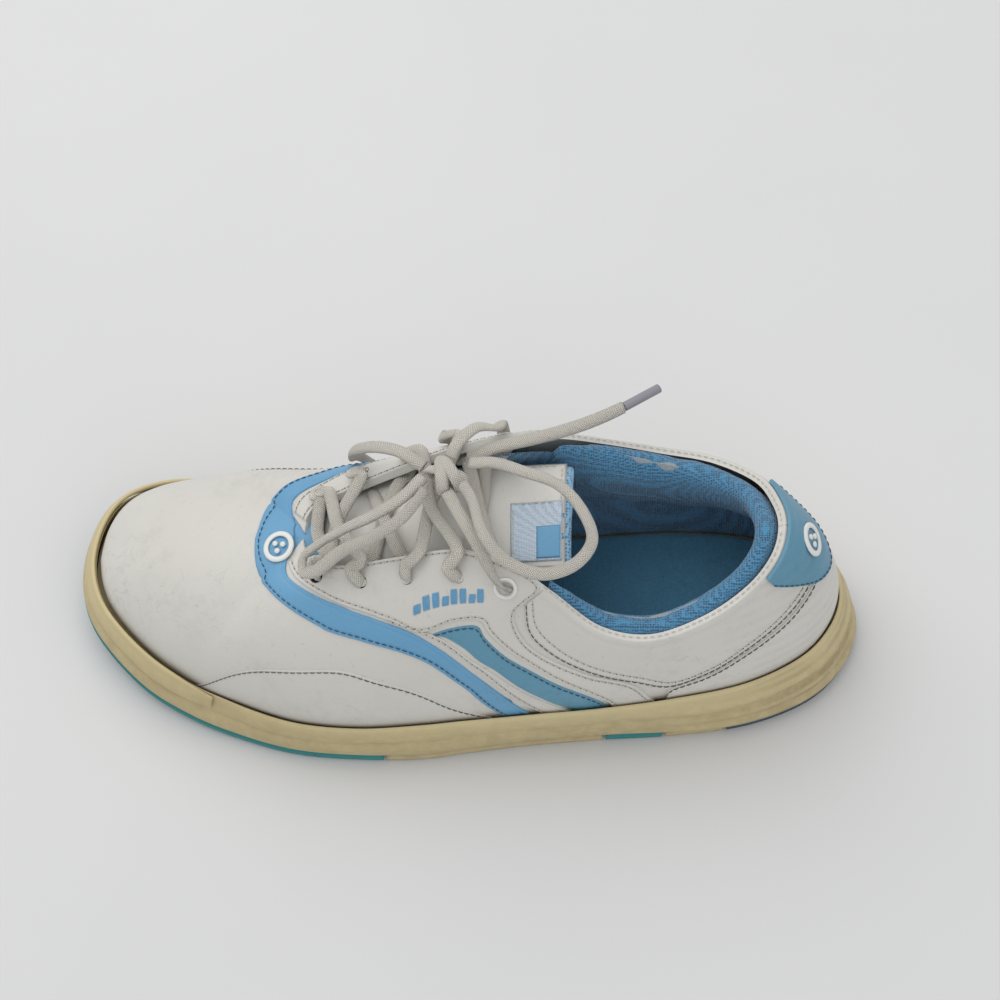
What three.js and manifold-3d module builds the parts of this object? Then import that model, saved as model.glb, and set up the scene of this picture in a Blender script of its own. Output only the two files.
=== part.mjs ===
// A left ten-pin bowling shoe, built as separate pieces around one measured last surface.
// Millimetres, +Z up. The toe points to -X, the heel to +X, the lateral side to -Y.
import * as THREE from "three";
import { mergeVertices } from "three/addons/utils/BufferGeometryUtils.js";
import Module from "manifold-3d";

// ---------------------------------------------------------------- driving dimensions
const soleLength = 266; // outsole, heel to toe
const soleWidth = 98; // outsole, across the ball
const collarHeight = 79; // floor to the top of the heel
const gap = 0.7; // clearance between neighbouring curved layers
const seamGap = 0.35; // clearance between flat pieces that touch

const overlayThickness = 1.0; // leather panels sewn on the outside
const baseThickness = 1.4; // vamp and quarters
const stiffenerThickness = 1.2; // toe puff and heel counter
const liningThickness = 1.0;
const badgeThickness = 0.7; // sewn or printed badges
const collarRoll = 12; // depth of the padded collar, measured inward from the leather
const collarRise = 3.6; // how far the padded collar stands above the leather

const outsoleThickness = 3.2;
const rimLift = 0.4; // the rubber rim stands this far off the floor
const rimWidth = 9; // rubber rim around the slide pad
const heelBandWidth = 13;
const toeSpring = 9; // lift of the outsole at the tip of the toe
const archLift = 2.5;
const wallLip = 3.5; // how far the side wall climbs over the lower edge of the upper
const boardThickness = 2.0;
const sockThickness = 4.0;
const sockInset = 8.0; // from the feather line to the edge of the sock liner
const padVee = 14; // length of the pointed rear edge of the slide pad

const laceDiameter = 4.0;
const laceSides = 8;
const laceEase = 0.5; // room round the lace inside a hole
const eyeletHole = laceDiameter + 2 * laceEase + 0.6;
const ringWall = 0.75;
const ringHole = laceDiameter + 2 * (laceEase + ringWall + seamGap); // the top hole takes a ring
const ringOutside = ringHole + 2.6;

// ---------------------------------------------------------------- the last, by stations
// Rows run round each side from the heel (row 0) to the throat (row 11).
// Columns: feather x, y | sole edge x, y | top line x, y, z | top slope | foot, top handles.
const lateralRows = [
  [125, 3, 131.8, 4, 106.5, 1, 79, 55, 20, 20],
  [121.5, -9, 127.5, -11, 104, -9.5, 76.5, 58, 20, 20],
  [112, -20, 116, -23.5, 96, -18.5, 70.5, 66, 18, 18],
  [94, -29.5, 96, -32.5, 82, -27, 65, 74, 16, 16],
  [70, -35, 71, -36.8, 64, -32.5, 61.5, 78, 14, 14],
  [46, -38.3, 46, -38.8, 47, -30.5, 64, 74, 14, 16],
  [22, -40.3, 22, -41.3, 32, -22.5, 73, 62, 16, 20],
  [2, -42, 2, -44.3, 20, -16.5, 81, 46, 18, 24],
  [-14, -43.5, -14, -46.8, 2, -11, 82, 38, 20, 24],
  [-34, -44.3, -35, -47.3, -18, -10, 75, 28, 22, 24],
  [-55, -42, -57, -45.5, -35, -9.5, 68.5, 18, 22, 24],
  [-76, -35, -79, -39.5, -46, -6, 65.5, 8, 22, 24],
];
const medialRows = [
  [125, 3, 131.8, 4, 106.5, 1, 79, 55, 20, 20],
  [122, 15, 127.5, 18, 104.5, 12, 76.5, 58, 20, 20],
  [114, 25, 117.5, 28.5, 98.5, 23.5, 72, 66, 18, 18],
  [95, 32, 97, 35, 84, 33, 68, 74, 16, 16],
  [70, 34, 71, 36, 66, 37.5, 66, 80, 16, 14],
  [46, 33, 46, 34, 48, 37.5, 71, 76, 18, 16],
  [22, 32, 22, 32.8, 33, 35, 79, 68, 24, 20],
  [2, 32.5, 2, 34, 19, 30, 86.5, 52, 26, 24],
  [-14, 35, -15, 37.5, 1, 24.5, 87, 42, 26, 24],
  [-34, 39, -35, 42, -19, 20.5, 79, 34, 26, 24],
  [-56, 44, -58, 47.5, -36, 17, 71, 26, 26, 24],
  [-78, 47, -80, 50.5, -47, 12, 67.5, 14, 26, 24],
];
// The toe, rows 12 to 16, where both sides meet on the spine of the vamp.
// Columns: lateral feather, sole edge | medial feather, sole edge | spine x, y, z | fan | handles.
const toeRows = [
  [-90, -29, -94, -33.5, -95, 47, -98, 51, -50, 3.5, 65, 50, 22, 24],
  [-103, -21, -108, -25.5, -109, 44.5, -113, 49, -72, 5.5, 58.5, 47, 19, 21],
  [-115, -10, -121, -13.5, -119.5, 38.5, -126, 43, -92, 9, 51, 42, 15, 16],
  [-123, 1, -130, -1, -125, 28, -132.5, 30, -107, 13, 43.5, 33, 12, 12],
  [-126.5, 14, -134, 14, -126.5, 14, -134, 14, -116.5, 14.5, 37, 0, 9, 8],
];
const featherHeights = [25, 24.5, 22.5, 19.5, 17, 17, 21.5]; // heel to toe, evenly spaced
const throatRow = lateralRows.length;
const toeRow = throatRow + toeRows.length - 1;

// Hand-drawn stations are for a 266 x 98 mm sole that is 79 mm high at the heel, with a 12 mm collar.
const drawnRoll = 12;
const sx = soleLength / 266;
const sy = soleWidth / 98;
const sz = (collarHeight - 25) / (79 - 25);

// ---------------------------------------------------------------- curves
const clamp = (x, lo, hi) => Math.min(Math.max(x, lo), hi);
const lerp = (a, b, f) => a + (b - a) * f;
const smooth = (lo, hi, x) => {
  const f = clamp((x - lo) / (hi - lo), 0, 1);
  return f * f * (3 - 2 * f);
};

/** Catmull-Rom through rows of numbers; before and after are the ghost rows at the ends. */
function catmull(rows, t, before, after) {
  const last = rows.length - 1;
  const i = clamp(Math.floor(t), 0, last - 1);
  const f = t - i;
  const extend = (a, b) => a.map((x, k) => 2 * x - b[k]);
  const row = (k) => {
    if (k < 0) return before ?? extend(rows[0], rows[1]);
    if (k > last) return after ?? extend(rows[last], rows[last - 1]);
    return rows[k];
  };
  const [a, b, c, d] = [row(i - 1), row(i), row(i + 1), row(i + 2)];
  return b.map((_, k) => {
    const cubic = 3 * b[k] - a[k] - 3 * c[k] + d[k];
    const square = 2 * a[k] - 5 * b[k] + 4 * c[k] - d[k];
    return 0.5 * (2 * b[k] + (c[k] - a[k]) * f + square * f * f + cubic * f * f * f);
  });
}

function featherZ(x) {
  const t = clamp(((133 * sx - x) / (266 * sx)) * 6, 0, 6);
  return catmull(featherHeights.map((z) => [z]), t)[0];
}

const springAt = (x) => toeSpring * clamp((-55 * sx - x) / (80 * sx), 0, 1) ** 2;

// ---------------------------------------------------------------- the last surface
const sides = { lateral: {}, medial: {} };

function buildSides() {
  const scale = (row, factors) => row.map((x, k) => x * factors[k]);
  const spine = toeRows.map((r) => [r[8] * sx, r[9] * sy, 25 + (r[10] - 25) * sz]);
  for (const [name, rows, from] of [["lateral", lateralRows, 0], ["medial", medialRows, 4]]) {
    const side = sides[name];
    const sign = name === "lateral" ? -1 : 1;
    side.feather = [...rows.map((r) => r.slice(0, 2)), ...toeRows.map((r) => r.slice(from, from + 2))]
      .map((r) => scale(r, [sx, sy]));
    side.sole = [...rows.map((r) => r.slice(2, 4)), ...toeRows.map((r) => r.slice(from + 2, from + 4))]
      .map((r) => scale(r, [sx, sy]));
    side.top = [...rows.map((r) => [r[4] * sx, r[5] * sy, 25 + (r[6] - 25) * sz]), spine[0]];
    side.handles = [...rows.map((r) => r.slice(8, 10)), ...toeRows.map((r) => r.slice(12, 14))];
    side.lean = rows.map((r, k) => {
      const out = new THREE.Vector3(side.feather[k][0] - side.top[k][0],
        side.feather[k][1] - side.top[k][1], 0).normalize();
      if (k === 0) out.set(1, 0, 0);
      const slope = THREE.MathUtils.degToRad(r[7]);
      return [out.x * Math.cos(slope), out.y * Math.cos(slope), -Math.sin(slope)];
    });
    toeRows.forEach((r, k) => {
      const a = new THREE.Vector3(...spine[Math.max(k - 1, 0)]);
      const b = new THREE.Vector3(...spine[Math.min(k + 1, spine.length - 1)]);
      const along = b.sub(a).normalize();
      const across = new THREE.Vector3(-along.y, along.x, 0).normalize();
      if (across.y * sign < 0) across.negate();
      const fan = THREE.MathUtils.degToRad(r[11]);
      const lean = along.multiplyScalar(Math.cos(fan)).addScaledVector(across, Math.sin(fan));
      side.lean.push(lean.toArray());
    });
    side.sign = sign;
  }
  sides.lateral.other = sides.medial;
  sides.medial.other = sides.lateral;
  sides.spine = spine;
}
buildSides();

/** A value of one side at row t, joined smoothly to the other side at the heel and the toe. */
function along(side, key, t) {
  const rows = sides[side][key];
  const other = sides[side].other[key];
  return catmull(rows, t, other[1], other[other.length - 2]);
}

/** Point on the outline at row t, moved outward by out. key is feather or sole. */
function outline(side, key, t, out = 0) {
  const p = along(side, key, t);
  const e = 0.02;
  const at = (u) => {
    if (u < 0) return along(side === "lateral" ? "medial" : "lateral", key, -u);
    if (u > toeRow) return along(side === "lateral" ? "medial" : "lateral", key, 2 * toeRow - u);
    return along(side, key, u);
  };
  const [a, b] = [at(t - e), at(t + e)];
  const tangent = new THREE.Vector2(b[0] - a[0], b[1] - a[1]).normalize();
  const s = sides[side].sign;
  return new THREE.Vector2(p[0] + s * tangent.y * out, p[1] - s * tangent.x * out);
}

/** Point of the last at row t and height v, from the feather line (0) to the top line (1). */
function lastPoint(side, t, v) {
  const foot2 = outline(side, "feather", t);
  const foot = new THREE.Vector3(foot2.x, foot2.y, featherZ(foot2.x));
  const top = new THREE.Vector3(...(t >= throatRow
    ? catmull(sides.spine, t - throatRow)
    : along(side, "top", t)));
  const lean = new THREE.Vector3(...along(side, "lean", t)).normalize();
  const [footHandle, topHandle] = along(side, "handles", t);
  const outward = outline(side, "feather", t, 1).sub(foot2);
  const rise = new THREE.Vector3(outward.x * 0.12, outward.y * 0.12, 1).normalize();
  const w = 1 - v;
  return new THREE.Vector3()
    .addScaledVector(foot, w * w * w + 3 * w * w * v)
    .addScaledVector(rise, 3 * w * w * v * footHandle)
    .addScaledVector(top, v * v * v + 3 * w * v * v)
    .addScaledVector(lean, 3 * w * v * v * topHandle);
}

function oneNormal(side, t, v) {
  const e = 0.004;
  const du = lastPoint(side, clamp(t + e, 0, toeRow), v).sub(lastPoint(side, clamp(t - e, 0, toeRow), v));
  const dv = lastPoint(side, t, clamp(v + e, 0, 1)).sub(lastPoint(side, t, clamp(v - e, 0, 1)));
  return dv.cross(du).multiplyScalar(-sides[side].sign).normalize();
}

/** Normal of the vamp along its spine, where both sides share one tangent plane. */
function spineNormal(t) {
  const e = 0.01;
  const u = clamp(t - throatRow, e, toeRow - throatRow - e);
  const a = new THREE.Vector3(...catmull(sides.spine, u - e));
  const forward = new THREE.Vector3(...catmull(sides.spine, u + e)).sub(a).normalize();
  const across = new THREE.Vector3(-forward.y, forward.x, 0).normalize();
  const n = forward.cross(across);
  return n.z < 0 ? n.negate() : n;
}

function lastNormal(side, t, v) {
  if (t >= throatRow && v > 0.999) return spineNormal(t);
  const n = oneNormal(side, t, v);
  const onSeam = t <= 0 || t >= toeRow;
  if (onSeam) n.add(oneNormal(side === "lateral" ? "medial" : "lateral", t, v)).normalize();
  return n;
}

/** Point at a signed row (negative rows are on the other side of the heel), offset by out. */
function place(side, t, v, out = 0) {
  if (t < 0) return place(side === "lateral" ? "medial" : "lateral", -t, v, out);
  return lastPoint(side, t, v).addScaledVector(lastNormal(side, t, v), out);
}

// ---------------------------------------------------------------- solids from sheets
/** A sheet of quads over the last. Each corner is [side, t, v]; equal corners are shared. */
class Sheet {
  constructor() {
    this.corners = [];
    this.faces = [];
    this.index = new Map();
  }

  corner([side, t, v]) {
    let s = side;
    let u = t;
    const w = clamp(v, 0, 1);
    if (u < 0) {
      s = s === "lateral" ? "medial" : "lateral";
      u = -u;
    }
    const shared = u < 1e-6 || u > toeRow - 1e-6 || (u > throatRow - 1e-6 && w > 1 - 1e-6);
    const key = `${shared ? "both" : s} ${u.toFixed(4)} ${w.toFixed(4)}`;
    if (!this.index.has(key)) {
      this.index.set(key, this.corners.length);
      this.corners.push([s, u, w]);
    }
    return this.index.get(key);
  }

  /** Adds a grid; at(s, q) gives the corner for s and q from 0 to 1. */
  grid(at, rows, columns) {
    for (let i = 0; i < rows; i += 1) {
      for (let j = 0; j < columns; j += 1) {
        const quad = [[i, j], [i + 1, j], [i + 1, j + 1], [i, j + 1]]
          .map(([a, b]) => this.corner(at(a / rows, b / columns)));
        this.addFace([quad[0], quad[1], quad[2]]);
        this.addFace([quad[0], quad[2], quad[3]]);
      }
    }
    return this;
  }

  addFace(face) {
    if (new Set(face).size === 3) this.faces.push(face);
  }

  /** Closed solid between two offsets from the last. */
  solid(inner, outer) {
    const count = this.corners.length;
    const points = [];
    for (const offset of [outer, inner]) {
      for (const [s, t, v] of this.corners) points.push(place(s, t, v, offset));
    }
    const faces = this.faces.map((f) => f);
    for (const [a, b, c] of this.faces) faces.push([c + count, b + count, a + count]);
    for (const [a, b] of openEdges(this.faces)) {
      faces.push([b, a, a + count], [b, a + count, b + count]);
    }
    return solidFrom(points, faces);
  }
}

/** Edges used by one face only, in the direction of that face. */
function openEdges(faces) {
  const seen = new Set();
  for (const f of faces) f.forEach((a, k) => seen.add(`${a}_${f[(k + 1) % 3]}`));
  return [...seen].map((key) => key.split("_").map(Number)).filter(([a, b]) => !seen.has(`${b}_${a}`));
}

/** Merged, outward-facing geometry from points and triangles. */
function solidFrom(points, faces) {
  const geometry = new THREE.BufferGeometry();
  const flat = points.flatMap((p) => [p.x, p.y, p.z]);
  geometry.setAttribute("position", new THREE.Float32BufferAttribute(flat, 3));
  geometry.setIndex(faces.flat());
  return tidy(geometry);
}

function tidy(geometry) {
  const plain = geometry.clone();
  plain.deleteAttribute("normal");
  plain.deleteAttribute("uv");
  const merged = mergeVertices(plain, 1e-4);
  const index = merged.index.array;
  const kept = [];
  for (let i = 0; i < index.length; i += 3) {
    const [a, b, c] = [index[i], index[i + 1], index[i + 2]];
    if (a !== b && b !== c && c !== a) kept.push([a, b, c]);
  }
  const p = merged.getAttribute("position");
  const at = (k) => new THREE.Vector3().fromBufferAttribute(p, k);
  const volume = kept.reduce((sum, [a, b, c]) => sum + at(a).dot(at(b).cross(at(c))), 0);
  merged.setIndex((volume < 0 ? kept.map((f) => f.toReversed()) : kept).flat());
  merged.computeVertexNormals();
  return merged;
}

/** Closed loop of sections (arrays of points) joined into a solid; closed joins last to first. */
function loft(sections, closed = false) {
  const size = sections[0].length;
  const faces = [];
  const count = closed ? sections.length : sections.length - 1;
  for (let i = 0; i < count; i += 1) {
    const next = ((i + 1) % sections.length) * size;
    for (let j = 0; j < size; j += 1) {
      const k = (j + 1) % size;
      faces.push([i * size + j, next + j, next + k], [i * size + j, next + k, i * size + k]);
    }
  }
  if (!closed) {
    const cap = (first, section, flip) => {
      for (const f of capFaces(section)) {
        const g = f.map((k) => k + first);
        faces.push(flip ? g.reverse() : g);
      }
    };
    cap(0, sections[0], false);
    cap((sections.length - 1) * size, sections.at(-1), true);
  }
  return solidFrom(sections.flat(), faces);
}

/** Triangles over one flat section, wound with the section. */
function capFaces(section) {
  const normal = new THREE.Vector3();
  section.forEach((p, i) => normal.add(p.clone().cross(section[(i + 1) % section.length])));
  normal.normalize();
  const u = section[1].clone().sub(section[0]).normalize();
  u.addScaledVector(normal, -u.dot(normal)).normalize();
  const v = normal.clone().cross(u);
  const flat = section.map((p) => new THREE.Vector2(p.dot(u), p.dot(v)));
  return THREE.ShapeUtils.triangulateShape(flat, []);
}

/** Slab between two grids of points that share their outline. */
function slab(topAt, bottomAt, rows, columns) {
  const points = [];
  const id = (layer, i, j) => layer * (rows + 1) * (columns + 1) + i * (columns + 1) + j;
  for (const at of [topAt, bottomAt]) {
    for (let i = 0; i <= rows; i += 1) {
      for (let j = 0; j <= columns; j += 1) points.push(at(i / rows, j / columns));
    }
  }
  const top = [];
  for (let i = 0; i < rows; i += 1) {
    for (let j = 0; j < columns; j += 1) {
      top.push([id(0, i, j), id(0, i + 1, j), id(0, i + 1, j + 1)]);
      top.push([id(0, i, j), id(0, i + 1, j + 1), id(0, i, j + 1)]);
    }
  }
  const shift = (rows + 1) * (columns + 1);
  const faces = [...top, ...top.map(([a, b, c]) => [c + shift, b + shift, a + shift])];
  for (const [a, b] of openEdges(top)) faces.push([b, a, a + shift], [b, a + shift, b + shift]);
  return solidFrom(points, faces);
}

/** Curve of [t, v] through hand-placed seam points, as a function of s from 0 to 1. */
const seam = (points) => (s) => catmull(points, s * (points.length - 1));

/** Strip between two seams on one side. */
function strip(sheet, side, from, to, rows, columns) {
  const a = seam(from);
  const b = seam(to);
  return sheet.grid((s, q) => {
    const [p, r] = [a(s), b(s)];
    return [side, lerp(p[0], r[0], q), lerp(p[1], r[1], q)];
  }, rows, columns);
}

// ---------------------------------------------------------------- layers of the upper
const overlay = { outer: 0, inner: -overlayThickness };
const base = { outer: overlay.inner - gap, inner: overlay.inner - gap - baseThickness };
const stiff = { outer: base.inner - gap, inner: base.inner - gap - stiffenerThickness };
const lining = { outer: stiff.inner - gap, inner: stiff.inner - gap - liningThickness };
const tab = { inner: overlay.outer + gap, outer: overlay.outer + gap + overlayThickness };
const badge = { inner: overlay.outer + gap, outer: overlay.outer + gap + badgeThickness };
const tabBadge = { inner: tab.outer + seamGap, outer: tab.outer + seamGap + badgeThickness };

// Rear edge of the vamp, from the throat down to the feather line, hidden by the trim band.
const vampRear = [[12.42, 1], [12.1, 0.86], [11, 0.79], [9.9, 0.72], [8.8, 0.62], [7.7, 0.485],
  [6.9, 0.35], [6.35, 0.19], [6.1, 0]];
// The lining stops below the lace holes.
const liningRear = [[12.35, 1], [12, 0.86], [10.6, 0.82], [9.2, 0.78], [7.9, 0.71], [6.7, 0.68],
  [6.42, 0.5],
  [6.4, 0.25], [6.4, 0]];

/** Piece over the toe whose rear edge is the same seam on both sides. */
function overToe(rear, rows, columns) {
  const edge = seam(rear);
  return new Sheet().grid((s, q) => {
    const across = 2 * q - 1;
    const [t, v] = edge(Math.abs(across));
    return [across < 0 ? "lateral" : "medial", lerp(t, toeRow, s), lerp(v, 1 - Math.abs(across), s)];
  }, rows, columns);
}

const makeVamp = () => overToe(vampRear, 16, 24).solid(base.inner, base.outer);
const makeVampLining = () => overToe(liningRear, 12, 16).solid(lining.inner, lining.outer);
const makeToePuff = () => overToe([[13.6, 1], [13.6, 0.5], [13.6, 0.03]], 6, 10)
  .solid(stiff.inner, stiff.outer);

function makeQuarter(side) {
  const top = [[0.04, 1], [1.5, 1], [3, 1], [4.5, 1], [5.7, 1], [6.6, 1], [7.3, 1], [8, 1], [8.8, 1],
    [9.6, 1], [10.5, 1], [11.3, 1], [11.9, 1]];
  const foot = [[0.04, 0], [1, 0], [2.2, 0], [3.6, 0], [4.9, 0], [5.95, 0.02], [6.2, 0.2], [6.75, 0.36],
    [7.55, 0.5], [8.65, 0.635], [9.75, 0.735], [10.8, 0.8], [11.75, 0.855]];
  return strip(new Sheet(), side, top, foot, 24, 4).solid(base.inner, base.outer);
}

function makeSidePanel(side) {
  const top = [[12, 0], [11, 0.29], [10.3, 0.41], [9.4, 0.45], [8.6, 0.37], [7.75, 0.26], [6.85, 0.1],
    [6.5, 0]];
  const foot = top.map(([t]) => [t, 0]);
  return strip(new Sheet(), side, top, foot, 14, 2).solid(overlay.inner, overlay.outer);
}

// Closely spaced round the front of the throat, where the rows fan out.
const bandOuter = [[12.75, 1], [12.58, 0.926], [12.4, 0.857], [12.2, 0.794], [11.96, 0.745],
  [11.55, 0.757], [11.19, 0.762], [10.87, 0.756], [10.61, 0.744], [10.37, 0.728], [10.14, 0.71],
  [9.92, 0.689], [9.7, 0.662], [9.11, 0.606], [8.63, 0.556], [8.25, 0.51], [7.85, 0.459], [7.43, 0.396],
  [7.02, 0.32], [6.74, 0.227], [6.51, 0.133], [6.32, 0.04]];
const bandInner = [[12.14, 1], [12.03, 0.938], [11.84, 0.906], [11.61, 0.884], [11.34, 0.87],
  [11.03, 0.867], [10.73, 0.861], [10.47, 0.849], [10.24, 0.835], [10.02, 0.82], [9.8, 0.802],
  [9.59, 0.78], [9.4, 0.755], [8.85, 0.692], [8.37, 0.627], [7.95, 0.565], [7.55, 0.513], [7.14, 0.452],
  [6.75, 0.375], [6.41, 0.279], [6.14, 0.165], [5.92, 0.04]];

function makeTrimBand() {
  const sheet = new Sheet();
  strip(sheet, "lateral", bandOuter, bandInner, 42, 2);
  strip(sheet, "medial", bandInner, bandOuter, 42, 2);
  return sheet.solid(overlay.inner, overlay.outer);
}

// The eyestay runs along the laces, turns down behind the stripe and has a flap before it.
const eyestayTop = [[11.5, 1], [10.7, 1], [9.8, 1], [8.7, 1], [7.7, 1], [6.9, 1], [6.27, 1], [6.6, 0.82],
  [6.35, 0.7], [5.9, 0.61], [5.15, 0.53], [4.5, 0.39], [4.2, 0]];
const eyestayFoot = [[11.6, 0.9], [10.8, 0.882], [10, 0.83], [8.83, 0.705], [8.2, 0.62], [7.7, 0.675],
  [7.2, 0.71], [6.93, 0.66], [6.5, 0.59], [5.85, 0.49], [5.2, 0.33], [4.87, 0.15], [4.78, 0]];
const flapFront = [[8.83, 0.705], [8.1, 0.61], [7.35, 0.52], [6.66, 0.39], [6.12, 0.22], [5.82, 0.08],
  [5.74, 0]];
const flapRear = [[8.2, 0.62], [7.85, 0.6], [7.2, 0.52], [6.5, 0.41], [5.88, 0.24], [5.5, 0.09], [5.35, 0]];

function makeEyestay(side) {
  const rows = 24;
  const foot = seam(eyestayFoot);
  const front = seam(flapFront);
  const rear = seam(flapRear);
  const sheet = new Sheet();
  const order = (q) => (side === "lateral" ? 1 - q : q);
  strip(sheet, side, side === "lateral" ? eyestayTop : eyestayFoot,
    side === "lateral" ? eyestayFoot : eyestayTop, rows, 2);
  sheet.grid((s, q) => {
    const f = order(q);
    const [a, b] = [front(s), rear(s)];
    const [t, v] = s === 0 ? foot(lerp(6, 8, f) / rows) : [lerp(a[0], b[0], f), lerp(a[1], b[1], f)];
    return [side, t, v];
  }, 6, 2);
  return punched(sheet.solid(overlay.inner, overlay.outer), side);
}

function makeStripe(side) {
  const top = [[7.95, 0.61], [7.65, 0.645], [7.2, 0.68], [6.96, 0.63], [6.53, 0.555], [5.9, 0.455],
    [5.27, 0.3], [4.95, 0.14], [4.86, 0]];
  const foot = [[7.9, 0.605], [7.65, 0.595], [7.25, 0.555], [6.95, 0.505], [6.5, 0.435], [5.87, 0.265],
    [5.58, 0.155], [5.4, 0.08], [5.27, 0]];
  return strip(new Sheet(), side, top, foot, 14, 2).solid(overlay.inner, overlay.outer - 0.3);
}

function makeCollarPanel(side) {
  const top = [[6.15, 1], [5.6, 1], [5, 1], [4.4, 1], [3.8, 1], [3.2, 1], [2.6, 1], [2, 1], [1.3, 1],
    [0.6, 1],
    [0.04, 1]];
  const foot = [[6.45, 0.86], [6.2, 0.72], [5.75, 0.63], [5.1, 0.55], [4.45, 0.42], [4, 0.27], [3.45, 0.36],
    [2.8, 0.49], [2, 0.57], [1, 0.62], [0.04, 0.635]];
  return strip(new Sheet(), side, top, foot, 20, 3).solid(overlay.inner, overlay.outer);
}

function makeCounterPanel() {
  const half = [[4.05, 0.02], [3.98, 0.21], [3.5, 0.31], [2.85, 0.45], [2.05, 0.53], [1, 0.585], [0, 0.6]];
  const top = [...half, ...half.slice(0, -1).reverse().map(([t, v]) => [-t, v])];
  const foot = top.map(([t]) => [t, 0]);
  return strip(new Sheet(), "lateral", top, foot, 24, 3).solid(overlay.inner, overlay.outer);
}

function makeHeelTab() {
  const foot = [[1.6, 0.9], [1.3, 0.76], [0.85, 0.6], [0.4, 0.52], [0, 0.49], [-0.4, 0.52], [-0.95, 0.6],
    [-1.35, 0.76], [-1.7, 0.9]];
  const top = foot.map(([t]) => [t, 0.99]);
  return strip(new Sheet(), "lateral", top, foot, 12, 4).solid(tab.inner, tab.outer);
}

/** Flat oval ring standing on a panel at [t, v] of the lateral side. */
function flatRing(t, v, outside, lift) {
  const profile = [[0.62, 0], [1, 0], [1, badgeThickness], [0.62, badgeThickness], [0.62, 0]]
    .map(([x, y]) => new THREE.Vector2(x * outside, y));
  const frame = { centre: place("lateral", t, v, 0), normal: lastNormal("lateral", t, v) };
  return tidy(onAxis(new THREE.LatheGeometry(profile, 20), frame, lift));
}

/** Oval ring badge around [t, v]; across and high are the half sizes in rows and height. */
function ringBadge(centre, across, high, layer) {
  const at = (s, q) => {
    const a = 2 * Math.PI * (s % 1);
    const r = lerp(1, 0.6, q);
    const t = centre[0] + across * r * Math.cos(a);
    const v = centre[1] + high * r * Math.sin(a);
    return v > 1 ? ["medial", t, 2 - v] : ["lateral", t, v];
  };
  return new Sheet().grid(at, 20, 1).solid(layer.inner, layer.outer);
}

const makeFrontEmblem = () => flatRing(12.18, 0.925, 5.4, gap + 0.5);
const makeHeelEmblem = () => ringBadge([0, 0.78], 0.5, 0.09, tabBadge);

function makeSideMotif(side) {
  const top = [[8.5, 0.785], [7.9, 0.83], [7.3, 0.87]];
  const foot = [[8.35, 0.7], [7.75, 0.75], [7.15, 0.8]];
  return strip(new Sheet(), side, top, foot, 5, 1).solid(badge.inner, badge.outer);
}

const makeHeelStiffener = () => strip(new Sheet(), "lateral",
  [[3.7, 0.3], [2.5, 0.55], [1.2, 0.62], [0, 0.64], [-1.2, 0.62], [-2.5, 0.55], [-3.7, 0.3]],
  [[3.7, 0.03], [2.5, 0.03], [1.2, 0.03], [0, 0.03], [-1.2, 0.03], [-2.5, 0.03], [-3.7, 0.03]],
  16, 3).solid(stiff.inner, stiff.outer);

// ---------------------------------------------------------------- padded collar
/** Point near the top line: out is the offset from the last, up the distance above the top. */
function nearTop(t, out, up) {
  const side = t < 0 ? "medial" : "lateral";
  const u = Math.abs(t);
  const length = lastPoint(side, u, 1).distanceTo(lastPoint(side, u, 0)) * 1.1;
  if (up <= 0) return place(side, u, clamp(1 + up / length, 0.02, 1), out);
  const direction = lastPoint(side, u, 1).sub(lastPoint(side, u, 0.96)).normalize();
  return place(side, u, 1, out).addScaledVector(direction, up);
}

/** Sweeps a collar section round the heel; each section point is [out, up]. */
function collarSweep(sectionAt, reach, steps) {
  const sections = [];
  for (let i = 0; i <= steps; i += 1) {
    const t = lerp(reach, -reach, i / steps);
    const full = lerp(0.3, 1, smooth(6.4, 4.4, Math.abs(t)));
    sections.push(sectionAt(full).map(([out, up]) => nearTop(t, out, up)));
  }
  return loft(sections);
}

const collarReach = 6.2;
const skinTop = stiff.outer; // the lining is sewn in just behind the leather

function collarSkin(full, inset) {
  const deep = lerp(lining.inner, -collarRoll, full) + inset;
  const start = skinTop - inset * 1.1;
  return [
    [start, -2],
    [lerp(start, deep, 0.25), lerp(1.5, collarRise, full) - 0.5 - inset],
    [lerp(start, deep, 0.55), lerp(1.5, collarRise, full) - inset],
    [lerp(start, deep, 0.87), lerp(0.8, collarRise - 1.6, full) - inset],
    [deep, -2.5],
    [deep, -9],
    [lerp(lining.inner + inset, deep, 0.72), -16],
    [lerp(lining.inner + inset, deep, 0.2), -27],
    [lining.inner + inset, -80],
  ];
}

const makeCollarLining = () => collarSweep(
  (full) => [...collarSkin(full, 0), ...collarSkin(full, liningThickness).reverse()], collarReach, 22);

function makeCollarFoam() {
  // A deeper roll turns faster, which takes more clearance.
  const clear = liningThickness + gap + 0.2 + 0.4 * Math.max(collarRoll - drawnRoll, 0);
  const section = (full) => {
    const skin = collarSkin(full, clear).slice(1, 7);
    const back = stiff.inner - gap;
    return [[back, -16], [back, -1], [back - 0.3, skin[0][1] - 0.6], ...skin.slice(1)];
  };
  return collarSweep(section, 5.2, 18);
}

// ---------------------------------------------------------------- tongue
const tongueLateral = [[-45, -4, 54], [-35, -9, 57], [-18, -9.5, 63], [2, -10.5, 70], [20, -13, 70.5],
  [40, -13, 73]];
const tongueMedial = [[-45, 11, 55.5], [-36, 16, 59], [-19, 18.5, 66.5], [1, 21.5, 74], [19, 25, 75.5],
  [40, 25, 77]];
const tongueSpread = [[1.0], [1.1], [1.15], [1.1], [1.0], [1.0]];
const tongueCrown = [[1.5], [3], [4], [3.4], [3.6], [5]];

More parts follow.
